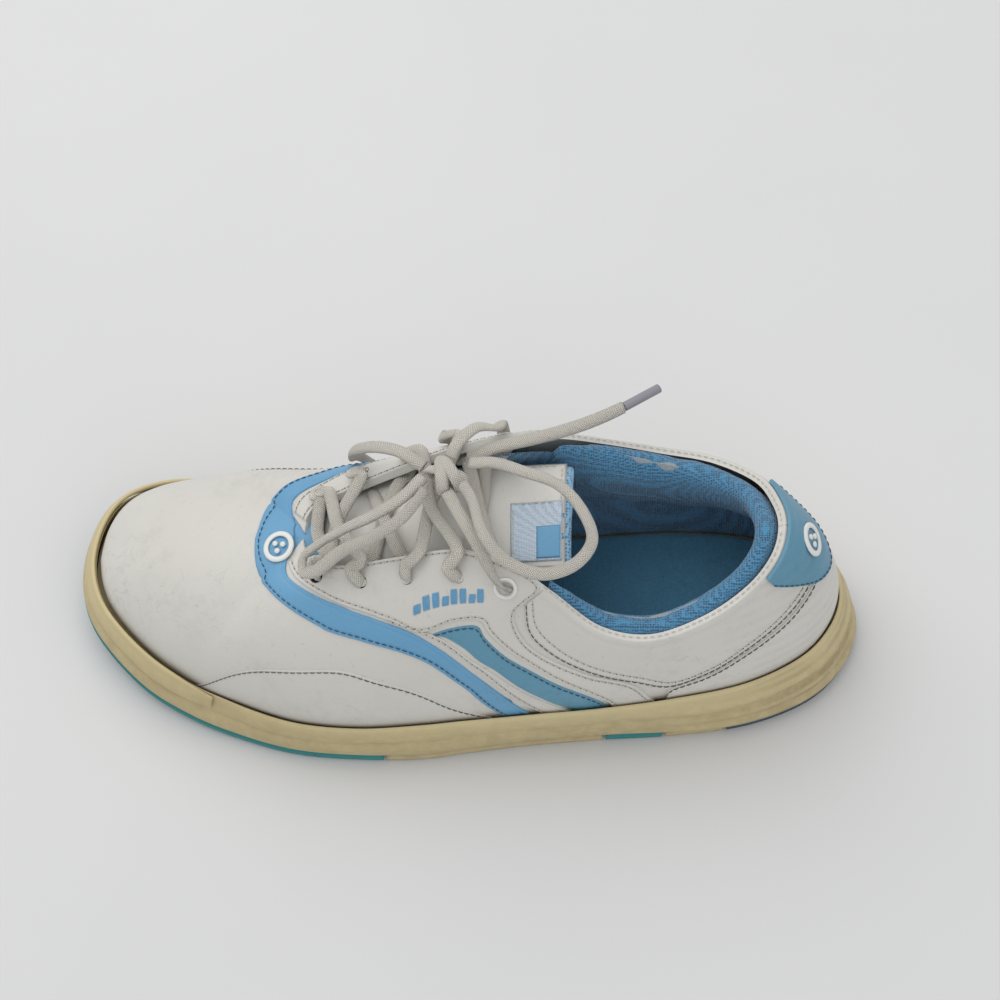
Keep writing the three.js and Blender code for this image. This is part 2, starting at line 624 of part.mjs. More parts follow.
/** Point of the tongue: s from root to end, q across from -1 to 1, down is the depth below. */
function tonguePoint(s, q, down) {
  const k = s * (tongueLateral.length - 1);
  const a = catmull(tongueLateral, k);
  const b = catmull(tongueMedial, k);
  const wide = catmull(tongueSpread, k)[0] * q;
  const f = (wide + 1) / 2;
  const crown = catmull(tongueCrown, k)[0] * (1 - wide * wide);
  const z = lerp(a[2], b[2], f) + crown - down;
  // Between the sides of the collar the tongue narrows as they come closer.
  const squeeze = (collarRoll - drawnRoll * sy) * smooth(0.4, 0.75, s);
  const y = lerp(a[1], b[1], f) * sy - wide * squeeze;
  return new THREE.Vector3(lerp(a[0], b[0], f) * sx, y, 25 + (z - 25) * sz);
}

function tongueLayer(depth, thickness, s0, s1, width) {
  const at = (down) => (s, q) => tonguePoint(lerp(s0, s1, s), lerp(-width, width, q), down);
  return slab(at(depth), at(depth + thickness), 9, 4);
}

const tongue = { skin: 1.1, foam: 3.4, back: 0.8 };
const makeTongueOuter = () => tongueLayer(0, tongue.skin, 0.0, 1, 1);
const makeTongueFoam = () => tongueLayer(tongue.skin + seamGap, tongue.foam, 0.04, 0.97, 0.9);
const makeTongueLining = () =>
  tongueLayer(tongue.skin + tongue.foam + 2 * seamGap, tongue.back, 0.0, 1, 1);

function makeTongueLabel() {
  const at = (down) => (s, q) => tonguePoint(lerp(0.8, 0.975, s), lerp(-0.78, 0.12, q), down);
  return slab(at(-seamGap - 0.6), at(-seamGap), 3, 4);
}

// ---------------------------------------------------------------- eyelets
const eyeletRows = [[10.5, 0.93], [9.45, 0.9], [8.65, 0.885], [7.8, 0.88], [6.95, 0.9]];

function eyeletFrame(side, k) {
  const [t, v] = eyeletRows[k];
  return { centre: place(side, t, v, 0), normal: lastNormal(side, t, v) };
}

function onAxis(geometry, frame, lift) {
  const turn = new THREE.Quaternion().setFromUnitVectors(new THREE.Vector3(0, 1, 0), frame.normal);
  geometry.applyQuaternion(turn);
  geometry.translate(...frame.centre.clone().addScaledVector(frame.normal, lift).toArray());
  return geometry;
}

const wasm = await Module();
wasm.setup();

function toManifold(geometry) {
  const merged = tidy(geometry);
  return new wasm.Manifold(new wasm.Mesh({
    numProp: 3,
    vertProperties: new Float32Array(merged.getAttribute("position").array),
    triVerts: new Uint32Array(merged.index.array),
  }));
}

function fromManifold(solid) {
  const mesh = solid.getMesh();
  const geometry = new THREE.BufferGeometry();
  geometry.setAttribute("position", new THREE.BufferAttribute(new Float32Array(mesh.vertProperties), 3));
  geometry.setIndex([...mesh.triVerts]);
  return tidy(geometry);
}

/** Cuts the five lace holes of one side through a leather layer. */
function punched(geometry, side) {
  let solid = toManifold(geometry);
  eyeletRows.forEach((_, k) => {
    const bore = k === eyeletRows.length - 1 ? ringHole : eyeletHole;
    const drill = new THREE.CylinderGeometry(bore / 2, bore / 2, 16, 8);
    solid = solid.subtract(toManifold(onAxis(drill, eyeletFrame(side, k), -4)));
  });
  return fromManifold(solid);
}

/** Plastic ring in the top eyelet, with a collar through the hole. */
function makeEyeletRing(side) {
  const barrel = ringHole / 2 - seamGap;
  const bore = barrel - ringWall;
  const flange = ringOutside / 2;
  const profile = [[bore, -2.4], [barrel, -2.4], [barrel, 0.35], [flange, 0.35], [flange, 1],
    [flange - 1, 1.6],
    [bore + 0.4, 1.6], [bore, 1]].map(([x, y]) => new THREE.Vector2(x, y));
  const ring = new THREE.LatheGeometry([...profile, profile[0]], 16);
  return tidy(onAxis(ring, eyeletFrame(side, 4), 0.35));
}

// ---------------------------------------------------------------- laces
/** Round cord along hand-chosen points. */
function cord(points, diameter, sidesCount, steps, closed = false) {
  const path = new THREE.CatmullRomCurve3(points.map((p) => new THREE.Vector3(...p)),
    closed, "centripetal");
  const section = new THREE.Shape();
  for (let i = 0; i < sidesCount; i += 1) {
    const a = (2 * Math.PI * i) / sidesCount;
    const [x, y] = [(diameter / 2) * Math.cos(a), (diameter / 2) * Math.sin(a)];
    if (i === 0) section.moveTo(x, y);
    else section.lineTo(x, y);
  }
  section.closePath();
  return tidy(new THREE.ExtrudeGeometry(section, { steps, extrudePath: path, bevelEnabled: false }));
}

const knot = { centre: [-1 * sx, 10 * sy, 92.5], halves: [7, 5.5, 4.5] };

/** Direction along the leather from one eyelet towards another point. */
function toward(frame, target) {
  const d = target.clone().sub(frame.centre);
  return d.addScaledVector(frame.normal, -d.dot(frame.normal)).normalize();
}

/** The bend of the lace at an eyelet: up and over on the outside, or down and under. */
function bend(frame, target, outside, raised = 0) {
  const d = toward(frame, target);
  const under = base.inner - gap - laceDiameter / 2;
  const over = laceDiameter / 2 + 1.2 + raised;
  const steps = outside
    ? [[-4, 0], [over - 2.4, 0.2], [over - 0.3, 2.4], [over, 4.5]]
    : [[-3, 0], [under + 1.8, 0.2], [under, 2.4], [under - 0.2, 6]];
  return steps.map(([n, along]) => frame.centre.clone().addScaledVector(frame.normal, n)
    .addScaledVector(d, along));
}

/** One crossing of the lace between two eyelets; lift is its height at the middle of the throat. */
function crossing([sideA, a], [sideB, b], outside, lift) {
  const [from, to] = [eyeletFrame(sideA, a), eyeletFrame(sideB, b)];
  const middle = from.centre.clone().add(to.centre).multiplyScalar(0.5).add(new THREE.Vector3(0, 0, lift));
  const rim = (side, k, shift) => (outside
    ? [place(side, eyeletRows[k][0] + shift, 1, laceDiameter / 2 + 1.8)]
    : []);
  const points = [...bend(from, to.centre, outside), ...rim(sideA, a, -0.12), middle,
    ...rim(sideB, b, 0.12),
    ...bend(to, from.centre, outside).reverse()];
  return cord(points.map((p) => p.toArray()), laceDiameter, laceSides, 12);
}

/** The laced part: two strands that cross outside, then under, up to the top eyelets. */
function makeLaceCrossings() {
  const pieces = [crossing(["lateral", 0], ["medial", 0], false, -2)];
  for (let k = 0; k < 4; k += 1) {
    const outside = k % 2 === 0;
    const lift = outside ? 3.5 : 0.4;
    pieces.push(crossing(["lateral", k], ["medial", k + 1], outside, lift));
    pieces.push(crossing(["medial", k], ["lateral", k + 1], outside, lift + laceDiameter + 0.6));
  }
  // The last two strands reach the knot along points given from its centre.
  for (const [side, offsets] of [["lateral", [[8, -19, -1.5], [3, -11, 0.5], [0.5, -6.3, 0.5]]],
    ["medial", [[15, 17, 1.5], [9, 15, 5], [3, 9, 4.5], [1, 5.6, 2]]]]) {
    const way = offsets.map((offset) => offset.map((x, k) => x + knot.centre[k]));
    const frame = eyeletFrame(side, 4);
    const target = new THREE.Vector3(...way[0]);
    const start = bend(frame, target, true, 1.8).slice(0, 3).map((p) => p.toArray());
    pieces.push(cord([...start, ...way], laceDiameter, laceSides, 10));
  }
  const solids = pieces.map((g) => toManifold(g));
  return fromManifold(solids.reduce((all, one) => all.add(one)));
}

function makeKnot() {
  const ball = new THREE.SphereGeometry(1, 12, 8);
  ball.scale(...knot.halves);
  ball.translate(...knot.centre);
  return tidy(ball);
}

const scaled = (points) => points.map(([x, y, z]) => [x * sx, y * sy, z]);
const loopFront = scaled([[-8.6, 8.4, 94], [-15, 0, 95], [-24, -4, 91], [-32, -5.5, 86.5], [-42, -7.5, 79],
  [-47.5, -10.5, 75], [-47, -15, 74], [-43, -15.8, 76], [-34, -13, 84], [-24, -11.5, 90.5], [-14, -7, 95.5],
  [-7.4, 2.6, 96]]);
const loopRear = scaled([[6.4, 12.6, 96], [14, 12, 97.5], [24, 9, 97], [35, 5, 95.5], [42.5, -3, 93],
  [45.5, -11, 89.5],
  [41, -18, 87.5], [31, -22, 87], [20, -20, 90], [12, -13, 95], [7.6, -1, 97.5], [4.6, 4.2, 97.2]]);
const endRear = scaled([[5.4, 17, 91.5], [13, 20, 93], [26, 25.5, 90], [38, 32, 86], [47, 38.2, 82.5],
  [54, 43, 81]]);
const agletRear = scaled([[54.4, 43.3, 80.9], [60, 47.5, 80], [65.5, 52, 78.5]]);
const onUpper = (side, t, v, out) => place(side, t, v, out).toArray();
const endSide = [...scaled([[-8.6, 13.6, 92], [-16, 18, 93.5], [-24, 22, 90]]),
  onUpper("medial", 9.4, 0.9, 8.5),
  onUpper("medial", 9.4, 0.74, 3), onUpper("medial", 9.25, 0.56, 3), onUpper("medial", 9.0, 0.42, 3)];
const agletSide = [onUpper("medial", 8.99, 0.412, 3), onUpper("medial", 8.75, 0.3, 3.4),
  onUpper("medial", 8.6, 0.22, 5)];

const freeLace = (points, steps) => cord(points, laceDiameter, laceSides, steps);
const makeAglet = (points) => cord(points, laceDiameter - 1, laceSides, 3);

// ---------------------------------------------------------------- sole
const wallFoot = rimLift + outsoleThickness; // underside of the side wall over flat ground
const floorOf = (x) => springAt(x);

/** Point of the sole at row t: k runs from the outsole edge (0) to the lip of the wall (1). */
function wallPoint(side, t, k, out) {
  const s = outline(side, "sole", t, out);
  const f = outline(side, "feather", t, out);
  const x = lerp(s.x, f.x, clamp(k, 0, 1));
  const z0 = floorOf(s.x) + wallFoot;
  const z1 = featherZ(f.x) + wallLip;
  return new THREE.Vector3(x, lerp(s.y, f.y, clamp(k, 0, 1)), lerp(z0, z1, k));
}

// Columns: height, then how far the wall stands out at the side, the heel and the toe.
const wallProfile = [
  [0, 0, 0.6, 0], [0.1, 0.9, 2.4, 0.9], [0.22, 1.5, 0.9, 1.5], [0.34, 1.8, 2.8, 1.8], [0.46, 1.6, 1.2, 1.4],
  [0.5, 1.0, 1.6, 1.1], [0.6, 2.2, 3.4, 1.1], [0.8, 2.6, 1.8, 1.1], [0.96, 2.5, 2.6, 1.1],
  [1, 1.9, 2.0, 1.0],
  [1, 0.6, 0.6, 0.6], [0.5, -0.6, -0.8, -0.6], [0, -4, -4, -4],
];

function wallBlend(t) {
  return { heel: smooth(4.6, 3.4, t), toe: smooth(10.6, 11.3, t) };
}

function makeSideWall() {
  const sections = [];
  const steps = 24;
  for (let i = 0; i < 2 * steps; i += 1) {
    const w = i / steps;
    const side = w < 1 ? "lateral" : "medial";
    const t = (w < 1 ? w : 2 - w) * toeRow;
    const blend = wallBlend(t);
    sections.push(wallProfile.map(([k, plain, heel, toe]) => {
      const out = lerp(lerp(plain, heel, blend.heel), toe, blend.toe);
      return wallPoint(side, t, k, out);
    }));
  }
  return loft(sections, true);
}

function makeToeBumper() {
  const profile = [[0.56, 1.7], [0.62, 2.9], [0.85, 3.3], [1.05, 2.9], [1.16, 2.1], [1.16, 1.0],
    [1.04, 0.9],
    [1.04, 1.6]];
  const sections = [];
  const steps = 20;
  for (let i = 0; i <= steps; i += 1) {
    const w = lerp(-4.6, 4.4, i / steps);
    const side = w < 0 ? "lateral" : "medial";
    const full = smooth(4.7, 3.4, Math.abs(w));
    const reach = lerp(0.5, 1, full);
    sections.push(profile.map(([k, out]) => wallPoint(side, toeRow - Math.abs(w), lerp(0.8, k, reach),
      lerp(Math.min(out, 2), out, full) + lerp(0.3, 0, full))));
  }
  return loft(sections);
}

/** Slab whose outline is inset from the sole or feather line between two rows. */
function soleSlab({ key, inset, from, to, top, bottom, rows, columns, vee = 0, veeFront = 0 }) {
  const at = (height) => (s, q) => {
    const t = lerp(from, to, s);
    const a = outline("lateral", key, t, -inset);
    const b = outline("medial", key, t, -inset);
    const bend = (1 - Math.abs(2 * q - 1)) * (vee * (1 - s) ** 2 + veeFront * s ** 2);
    const x = lerp(a.x, b.x, q) + bend * sx;
    return new THREE.Vector3(x, lerp(a.y, b.y, q), height(x));
  };
  return slab(at(top), at(bottom), rows, columns);
}

/** Strip of outsole along one or both edges between two rows, from out to in. */
function edgeStrip(side, from, to, outer, inner, lift, height, steps) {
  const sections = [];
  for (let i = 0; i <= steps; i += 1) {
    const u = lerp(from, to, i / steps);
    let s = side;
    let t = u;
    if (u > toeRow) [s, t] = ["medial", 2 * toeRow - u];
    if (u < 0) [s, t] = ["medial", -u];
    const [a, b] = [outline(s, "sole", t, outer), outline(s, "sole", t, -inner)];
    const z = (p) => floorOf(p.x) + lift;
    sections.push([new THREE.Vector3(a.x, a.y, z(a)), new THREE.Vector3(b.x, b.y, z(b)),
      new THREE.Vector3(b.x, b.y, z(b) + height), new THREE.Vector3(a.x, a.y, z(a) + height)]);
  }
  return loft(sections);
}

const archAt = (x) => archLift * smooth(62 * sx, 35 * sx, x) * smooth(-22 * sx, 8 * sx, x);
const soleTop = (x) => floorOf(x) + rimLift + outsoleThickness;
const coreFoot = (x) => soleTop(x) + archAt(x) + seamGap;

// The wall leans in by as much as the sole stands out from the feather line at the heel.
const coreInset = 5.6 + 6.8 * (sx - 1);
const makeCore = () => soleSlab({ key: "sole", inset: coreInset, from: 0, to: toeRow, rows: 32, columns: 4,
  top: (x) => featherZ(x) - boardThickness - 3 * seamGap, bottom: coreFoot });
const makeBoard = () => soleSlab({ key: "feather", inset: 1.6, from: 0, to: toeRow, rows: 20, columns: 3,
  top: (x) => featherZ(x) - 2 * seamGap, bottom: (x) => featherZ(x) - boardThickness - 2 * seamGap });
const makeSock = () => soleSlab({ key: "feather", inset: sockInset, from: 0, to: toeRow, rows: 20,
  columns: 3,
  top: (x) => featherZ(x) - seamGap + sockThickness, bottom: (x) => featherZ(x) - seamGap });

const padFrom = 7.6;
const makeSlidePad = () => soleSlab({ key: "sole", inset: rimWidth + seamGap, from: padFrom, to: toeRow,
  rows: 12, columns: 4, top: soleTop, bottom: floorOf, vee: padVee });
const makeForefootRim = () => edgeStrip("lateral", padFrom + 1, 2 * toeRow - padFrom - 1, -0.4, rimWidth,
  rimLift, outsoleThickness - seamGap, 26);
const makeWaist = () => soleSlab({ key: "sole", inset: rimWidth + seamGap, from: 3.5, to: padFrom - 0.06,
  rows: 8, columns: 4, top: (x) => soleTop(x) + archAt(x), bottom: (x) => 1.2 + archAt(x),
    veeFront: padVee });
const makeHeelBand = () => edgeStrip("lateral", 3.3, -3.3, -0.4, heelBandWidth, 0, wallFoot - seamGap, 16);
const makeHeelPad = () => soleSlab({ key: "sole", inset: heelBandWidth + seamGap, from: 0, to: 3.3, rows: 8,
  columns: 4, top: soleTop, bottom: () => 0 });
const strut = (side, from, to) => edgeStrip(side, from, to, -0.4, rimWidth, rimLift,
  outsoleThickness - seamGap, Math.max(3, Math.round(Math.abs(to - from) * 2)));

// ---------------------------------------------------------------- finishes and assembly
const finish = {
  leather: [0xd8d3ca, 0.55], trim: [0x5e9dc4, 0.6], tab: [0x6f9fb0, 0.5], mesh: [0x3f78a5, 0.95],
  foam: [0x9aa3a8, 1], sock: [0x2f5068, 0.9], fibre: [0xb9a889, 0.85],
  cream: [0xd9c795, 0.6], teal: [0x3e8c8c, 0.65], slate: [0x3f5560, 0.65], slide: [0x7c7670, 1],
  worn: [0xa8a291, 0.85], lace: [0xd9d5cc, 0.9], aglet: [0x8d8a92, 0.35], white: [0xeae8e2, 0.5],
  thread: [0x7fb0d0, 0.7], plastic: [0xcac9c2, 0.45],
};

const group = new THREE.Group();

function add(name, geometry, look) {
  const [color, roughness, metalness = 0] = finish[look];
  const mesh = new THREE.Mesh(geometry, new THREE.MeshStandardMaterial({ color, roughness, metalness }));
  mesh.name = name;
  group.add(mesh);
}

add("midsole_core", makeCore(), "cream");
add("midsole_sidewall", makeSideWall(), "cream");
add("toe_bumper", makeToeBumper(), "cream");
add("insole_board", makeBoard(), "fibre");
add("sock_liner", makeSock(), "sock");
add("slide_pad", makeSlidePad(), "slide");
add("outsole_forefoot_rim", makeForefootRim(), "teal");
add("outsole_waist", makeWaist(), "slate");
add("outsole_heel_band", makeHeelBand(), "slate");
add("outsole_heel_pad", makeHeelPad(), "worn");
for (const side of ["lateral", "medial"]) {
  add(`outsole_rear_strip_${side}`, strut(side, 3.35, 4.1), "cream");
  add(`outsole_lug_${side}`, strut(side, 4.15, 4.9), "teal");
  add(`outsole_front_strip_${side}`, strut(side, 4.95, padFrom + 0.95), "cream");
}
add("vamp", makeVamp(), "leather");
add("vamp_lining", makeVampLining(), "mesh");
add("toe_puff", makeToePuff(), "fibre");
add("trim_band", makeTrimBand(), "trim");
add("front_emblem", makeFrontEmblem(), "white");
for (const side of ["lateral", "medial"]) {
  add(`quarter_${side}`, punched(makeQuarter(side), side), "leather");
  add(`eyestay_${side}`, makeEyestay(side), "leather");
  add(`side_panel_${side}`, makeSidePanel(side), "leather");
  add(`side_stripe_${side}`, makeStripe(side), "tab");
  add(`collar_panel_${side}`, makeCollarPanel(side), "leather");
  add(`side_motif_${side}`, makeSideMotif(side), "thread");
  add(`eyelet_ring_${side}`, makeEyeletRing(side), "plastic");
}
add("heel_counter_panel", makeCounterPanel(), "leather");
add("heel_tab", makeHeelTab(), "tab");
add("heel_emblem", makeHeelEmblem(), "white");
add("heel_stiffener", makeHeelStiffener(), "fibre");
add("collar_lining", makeCollarLining(), "mesh");
add("collar_foam", makeCollarFoam(), "foam");
add("tongue_outer", makeTongueOuter(), "leather");
add("tongue_foam", makeTongueFoam(), "foam");
add("tongue_lining", makeTongueLining(), "mesh");
add("tongue_label", makeTongueLabel(), "white");

// Stand the shoe on the floor with its plan centred on the origin; the free lace ends don't count.
const box = new THREE.Box3().setFromObject(group);
add("lace_crossings", makeLaceCrossings(), "lace");
add("lace_knot", makeKnot(), "lace");
add("lace_loop_front", freeLace(loopFront, 15), "lace");
add("lace_loop_rear", freeLace(loopRear, 20), "lace");
add("lace_end_rear", freeLace(endRear, 9), "lace");
add("lace_end_side", freeLace(endSide, 11), "lace");
add("aglet_rear", makeAglet(agletRear), "aglet");
add("aglet_side", makeAglet(agletSide), "aglet");
group.position.set(-(box.min.x + box.max.x) / 2, -(box.min.y + box.max.y) / 2, -box.min.z);

export default group;
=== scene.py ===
"""A left ten-pin bowling shoe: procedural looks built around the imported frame."""

import logging
import math
from dataclasses import dataclass, field
from enum import Enum
from typing import Callable, Optional, Sequence

import bmesh
import bpy
import numpy as np
from mathutils import Matrix, Vector


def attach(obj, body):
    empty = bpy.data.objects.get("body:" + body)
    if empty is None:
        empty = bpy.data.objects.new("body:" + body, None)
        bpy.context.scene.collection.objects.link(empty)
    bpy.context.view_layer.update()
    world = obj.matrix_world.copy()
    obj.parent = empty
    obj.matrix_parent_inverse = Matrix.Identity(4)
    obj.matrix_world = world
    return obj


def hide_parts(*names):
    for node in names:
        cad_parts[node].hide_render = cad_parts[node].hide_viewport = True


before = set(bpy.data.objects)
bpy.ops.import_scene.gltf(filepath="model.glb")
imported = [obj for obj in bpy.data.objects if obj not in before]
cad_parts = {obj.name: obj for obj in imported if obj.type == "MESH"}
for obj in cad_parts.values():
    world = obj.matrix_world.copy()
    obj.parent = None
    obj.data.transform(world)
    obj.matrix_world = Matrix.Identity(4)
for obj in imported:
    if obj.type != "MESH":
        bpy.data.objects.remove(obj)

LOG = logging.getLogger("bowling_shoe")
MM = 0.001
# The stations below are drawn about their own origin; the frame's origin is this far away (mm).
FRAME_SHIFT = np.array([0.314, -1.723, 0.0])
SHOE = "shoe"
TONGUE = "tongue"

# Rows run round each side from the heel (row 0) to the throat (row 11), in millimetres.
# Columns: feather x, y | sole edge x, y | top line x, y, z | top slope | foot, top handles.
LATERAL_ROWS = [
    [125, 3, 131.8, 4, 106.5, 1, 79, 55, 20, 20],
    [121.5, -9, 127.5, -11, 104, -9.5, 76.5, 58, 20, 20],
    [112, -20, 116, -23.5, 96, -18.5, 70.5, 66, 18, 18],
    [94, -29.5, 96, -32.5, 82, -27, 65, 74, 16, 16],
    [70, -35, 71, -36.8, 64, -32.5, 61.5, 78, 14, 14],
    [46, -38.3, 46, -38.8, 47, -30.5, 64, 74, 14, 16],
    [22, -40.3, 22, -41.3, 32, -22.5, 73, 62, 16, 20],
    [2, -42, 2, -44.3, 20, -16.5, 81, 46, 18, 24],
    [-14, -43.5, -14, -46.8, 2, -11, 82, 38, 20, 24],
    [-34, -44.3, -35, -47.3, -18, -10, 75, 28, 22, 24],
    [-55, -42, -57, -45.5, -35, -9.5, 68.5, 18, 22, 24],
    [-76, -35, -79, -39.5, -46, -6, 65.5, 8, 22, 24],
]
MEDIAL_ROWS = [
    [125, 3, 131.8, 4, 106.5, 1, 79, 55, 20, 20],
    [122, 15, 127.5, 18, 104.5, 12, 76.5, 58, 20, 20],
    [114, 25, 117.5, 28.5, 98.5, 23.5, 72, 66, 18, 18],
    [95, 32, 97, 35, 84, 33, 68, 74, 16, 16],
    [70, 34, 71, 36, 66, 37.5, 66, 80, 16, 14],
    [46, 33, 46, 34, 48, 37.5, 71, 76, 18, 16],
    [22, 32, 22, 32.8, 33, 35, 79, 68, 24, 20],
    [2, 32.5, 2, 34, 19, 30, 86.5, 52, 26, 24],
    [-14, 35, -15, 37.5, 1, 24.5, 87, 42, 26, 24],
    [-34, 39, -35, 42, -19, 20.5, 79, 34, 26, 24],
    [-56, 44, -58, 47.5, -36, 17, 71, 26, 26, 24],
    [-78, 47, -80, 50.5, -47, 12, 67.5, 14, 26, 24],
]
# The toe: lateral feather, sole edge | medial feather, sole edge | spine x, y, z | fan | handles.
TOE_ROWS = [
    [-90, -29, -94, -33.5, -95, 47, -98, 51, -50, 3.5, 65, 50, 22, 24],
    [-103, -21, -108, -25.5, -109, 44.5, -113, 49, -72, 5.5, 58.5, 47, 19, 21],
    [-115, -10, -121, -13.5, -119.5, 38.5, -126, 43, -92, 9, 51, 42, 15, 16],
    [-123, 1, -130, -1, -125, 28, -132.5, 30, -107, 13, 43.5, 33, 12, 12],
    [-126.5, 14, -134, 14, -126.5, 14, -134, 14, -116.5, 14.5, 37, 0, 9, 8],
]
FEATHER_HEIGHTS = [[25], [24.5], [22.5], [19.5], [17], [17], [21.5]]
THROAT_ROW = 12
TOE_ROW = 16
TOE_SPRING = 9.0
WALL_LIP = 3.5
WALL_FOOT = 3.6

Array = np.ndarray
Thing = bpy.types.Object
Node = bpy.types.Node
Tree = bpy.types.NodeTree
Output = bpy.types.NodeSocket
Corner = tuple[Array, Array, Array]
Surface = Callable[[Array, Array], Corner]


class Side(Enum):
    """The two sides of a left shoe."""

    LATERAL = -1
    MEDIAL = 1


def smooth(low: float, high: float, x: Array) -> Array:
    """Smooth step from 0 at low to 1 at high."""
    f = np.clip((np.asarray(x, float) - low) / (high - low), 0, 1)
    return f * f * (3 - 2 * f)


def catmull(rows: Sequence[Sequence[float]], t: Array, before: Optional[Array] = None,
            after: Optional[Array] = None) -> Array:
    """Uniform Catmull-Rom curve through rows.

    Args:
        rows: Control rows, each a point of any dimension.
        t: Parameters, one unit for each row.
        before: Ghost row before the first, or None to extend the curve straight.
        after: Ghost row after the last, or None to extend the curve straight.

    Returns:
        The points at t, with one more axis than t.
    """
    p = np.asarray(rows, float)
    first = 2 * p[0] - p[1] if before is None else before
    last = 2 * p[-1] - p[-2] if after is None else after
    k = np.vstack([first, p, last])
    t = np.asarray(t, float)
    i = np.clip(np.floor(t).astype(int), 0, len(p) - 2)
    f = (t - i)[..., None]
    a, b, c, d = k[i], k[i + 1], k[i + 2], k[i + 3]
    square = 2 * a - 5 * b + 4 * c - d
    return 0.5 * (2 * b + (c - a) * f + square * f * f + (3 * b - a - 3 * c + d) * f**3)


def unit(v: Array) -> Array:
    """Vectors of length 1 along the last axis."""
    return v / np.maximum(np.linalg.norm(v, axis=-1, keepdims=True), 1e-9)


@dataclass
class LastSide:
    """Control rows of one side of the last."""

    feather: Array
    sole: Array
    top: Array
    lean: Array
    handles: Array


class Last:
    """The form the upper is made over, as a surface in (side, row, height)."""

    def __init__(self) -> None:
        """Builds the control rows of both sides."""
        toe = np.array(TOE_ROWS, float)
        self.spine = toe[:, 8:11]
        self.sides = {
            Side.LATERAL: self._side(np.array(LATERAL_ROWS, float), toe, 0, -1),
            Side.MEDIAL: self._side(np.array(MEDIAL_ROWS, float), toe, 4, 1),
        }

    def _side(self, rows: Array, toe: Array, start: int, sign: int) -> LastSide:
        """Control rows of one side from its tables.

        Args:
            rows: Table of the side.
            toe: Table of the toe.
            start: Its first toe column.
            sign: Outward sign of y.

        Returns:
            The control rows.
        """
        out = np.zeros((len(rows), 3))
        out[:, :2] = rows[:, 0:2] - rows[:, 4:6]
        out = unit(out)
        out[0] = [1, 0, 0]
        slope = np.radians(rows[:, 7:8])
        lean = np.hstack([out[:, :2] * np.cos(slope), -np.sin(slope)])
        fans = []
        for k in range(len(toe)):
            run = unit(self.spine[min(k + 1, len(toe) - 1)] - self.spine[max(k - 1, 0)])
            across = unit(np.array([-run[1], run[0], 0]))
            across = -across if across[1] * sign < 0 else across
            fan = math.radians(toe[k, 11])
            fans.append(run * math.cos(fan) + across * math.sin(fan))
        return LastSide(
            feather=np.vstack([rows[:, 0:2], toe[:, start:start + 2]]),
            sole=np.vstack([rows[:, 2:4], toe[:, start + 2:start + 4]]),
            top=np.vstack([rows[:, 4:7], self.spine[:1]]),
            lean=np.vstack([lean, fans]),
            handles=np.vstack([rows[:, 8:10], toe[:, 12:14]]),
        )

    def along(self, side: Side, key: str, t: Array) -> Array:
        """A control value of one side at row t, joined smoothly to the other side.

        Args:
            side: Side of the shoe.
            key: Name of the control value.
            t: Rows.

        Returns:
            The values.
        """
        other = Side.MEDIAL if side is Side.LATERAL else Side.LATERAL
        mine = getattr(self.sides[side], key)
        theirs = getattr(self.sides[other], key)
        return catmull(mine, t, theirs[1], theirs[-2])

    def _round(self, side: Side, key: str, u: Array) -> Array:
        """Like along, but rows past the heel or the toe run on into the other side.

        Args:
            side: Side of the shoe.
            key: Name of the control value.
            u: Rows, which may run past either end.

        Returns:
            The values.
        """
        other = Side.MEDIAL if side is Side.LATERAL else Side.LATERAL
        here = self.along(side, key, np.clip(u, 0, TOE_ROW))
        there = self.along(other, key, np.clip(np.where(u < 0, -u, 2 * TOE_ROW - u), 0, TOE_ROW))
        beyond = ((u < 0) | (u > TOE_ROW))[..., None]
        return np.where(beyond, there, here)

    def outline(self, side: Side, key: str, t: Array, out: Array = 0.0) -> Array:
        """Point (x, y) of the feather or sole outline at row t, moved outward by out.

        Args:
            side: Side of the shoe.
            key: Name of the control value.
            t: Rows.
            out: Distance outward.

        Returns:
            The points.
        """
        p = self.along(side, key, t)
        tangent = unit(self._round(side, key, t + 0.02) - self._round(side, key, t - 0.02))
        sign = side.value
        shift = np.stack([sign * tangent[..., 1], -sign * tangent[..., 0]], -1)
        return p + shift * np.asarray(out, float)[..., None]

    @staticmethod
    def feather_height(x: Array) -> Array:
        """Height of the feather line at x."""
        t = np.clip((133 - np.asarray(x, float)) / 266 * 6, 0, 6)
        return catmull(FEATHER_HEIGHTS, t)[..., 0]

    def point(self, side: Side, t: Array, v: Array) -> Array:
        """Point of the last from the feather line (v = 0) to the top line (v = 1).

        Args:
            side: Side of the shoe.
            t: Rows.
            v: Heights from 0 to 1.

        Returns:
            The points.
        """
        foot2 = self.outline(side, "feather", t)
        foot = np.concatenate([foot2, self.feather_height(foot2[..., 0])[..., None]], -1)
        rim = self.along(side, "top", np.minimum(t, THROAT_ROW))
        ridge = catmull(self.spine, np.maximum(t - THROAT_ROW, 0))
        top = np.where((t >= THROAT_ROW)[..., None], ridge, rim)
        lean = unit(self.along(side, "lean", t))
        handles = self.along(side, "handles", t)
        outward = self.outline(side, "feather", t, np.ones_like(t)) - foot2
        rise = unit(np.concatenate([outward * 0.12, np.ones_like(t)[..., None]], -1))
        v = v[..., None]
        w = 1 - v
        return (foot * (w**3 + 3 * w * w * v) + rise * (3 * w * w * v * handles[..., :1])
                + top * (v**3 + 3 * w * v * v) + lean * (3 * w * v * v * handles[..., 1:]))

    def normal(self, side: Side, t: Array, v: Array) -> Array:
        """Outward normal of the last.

        Args:
            side: Side of the shoe.
            t: Rows.
            v: Heights from 0 to 1.

        Returns:
            The normals.
        """
        e = 0.006
        other = Side.MEDIAL if side is Side.LATERAL else Side.LATERAL

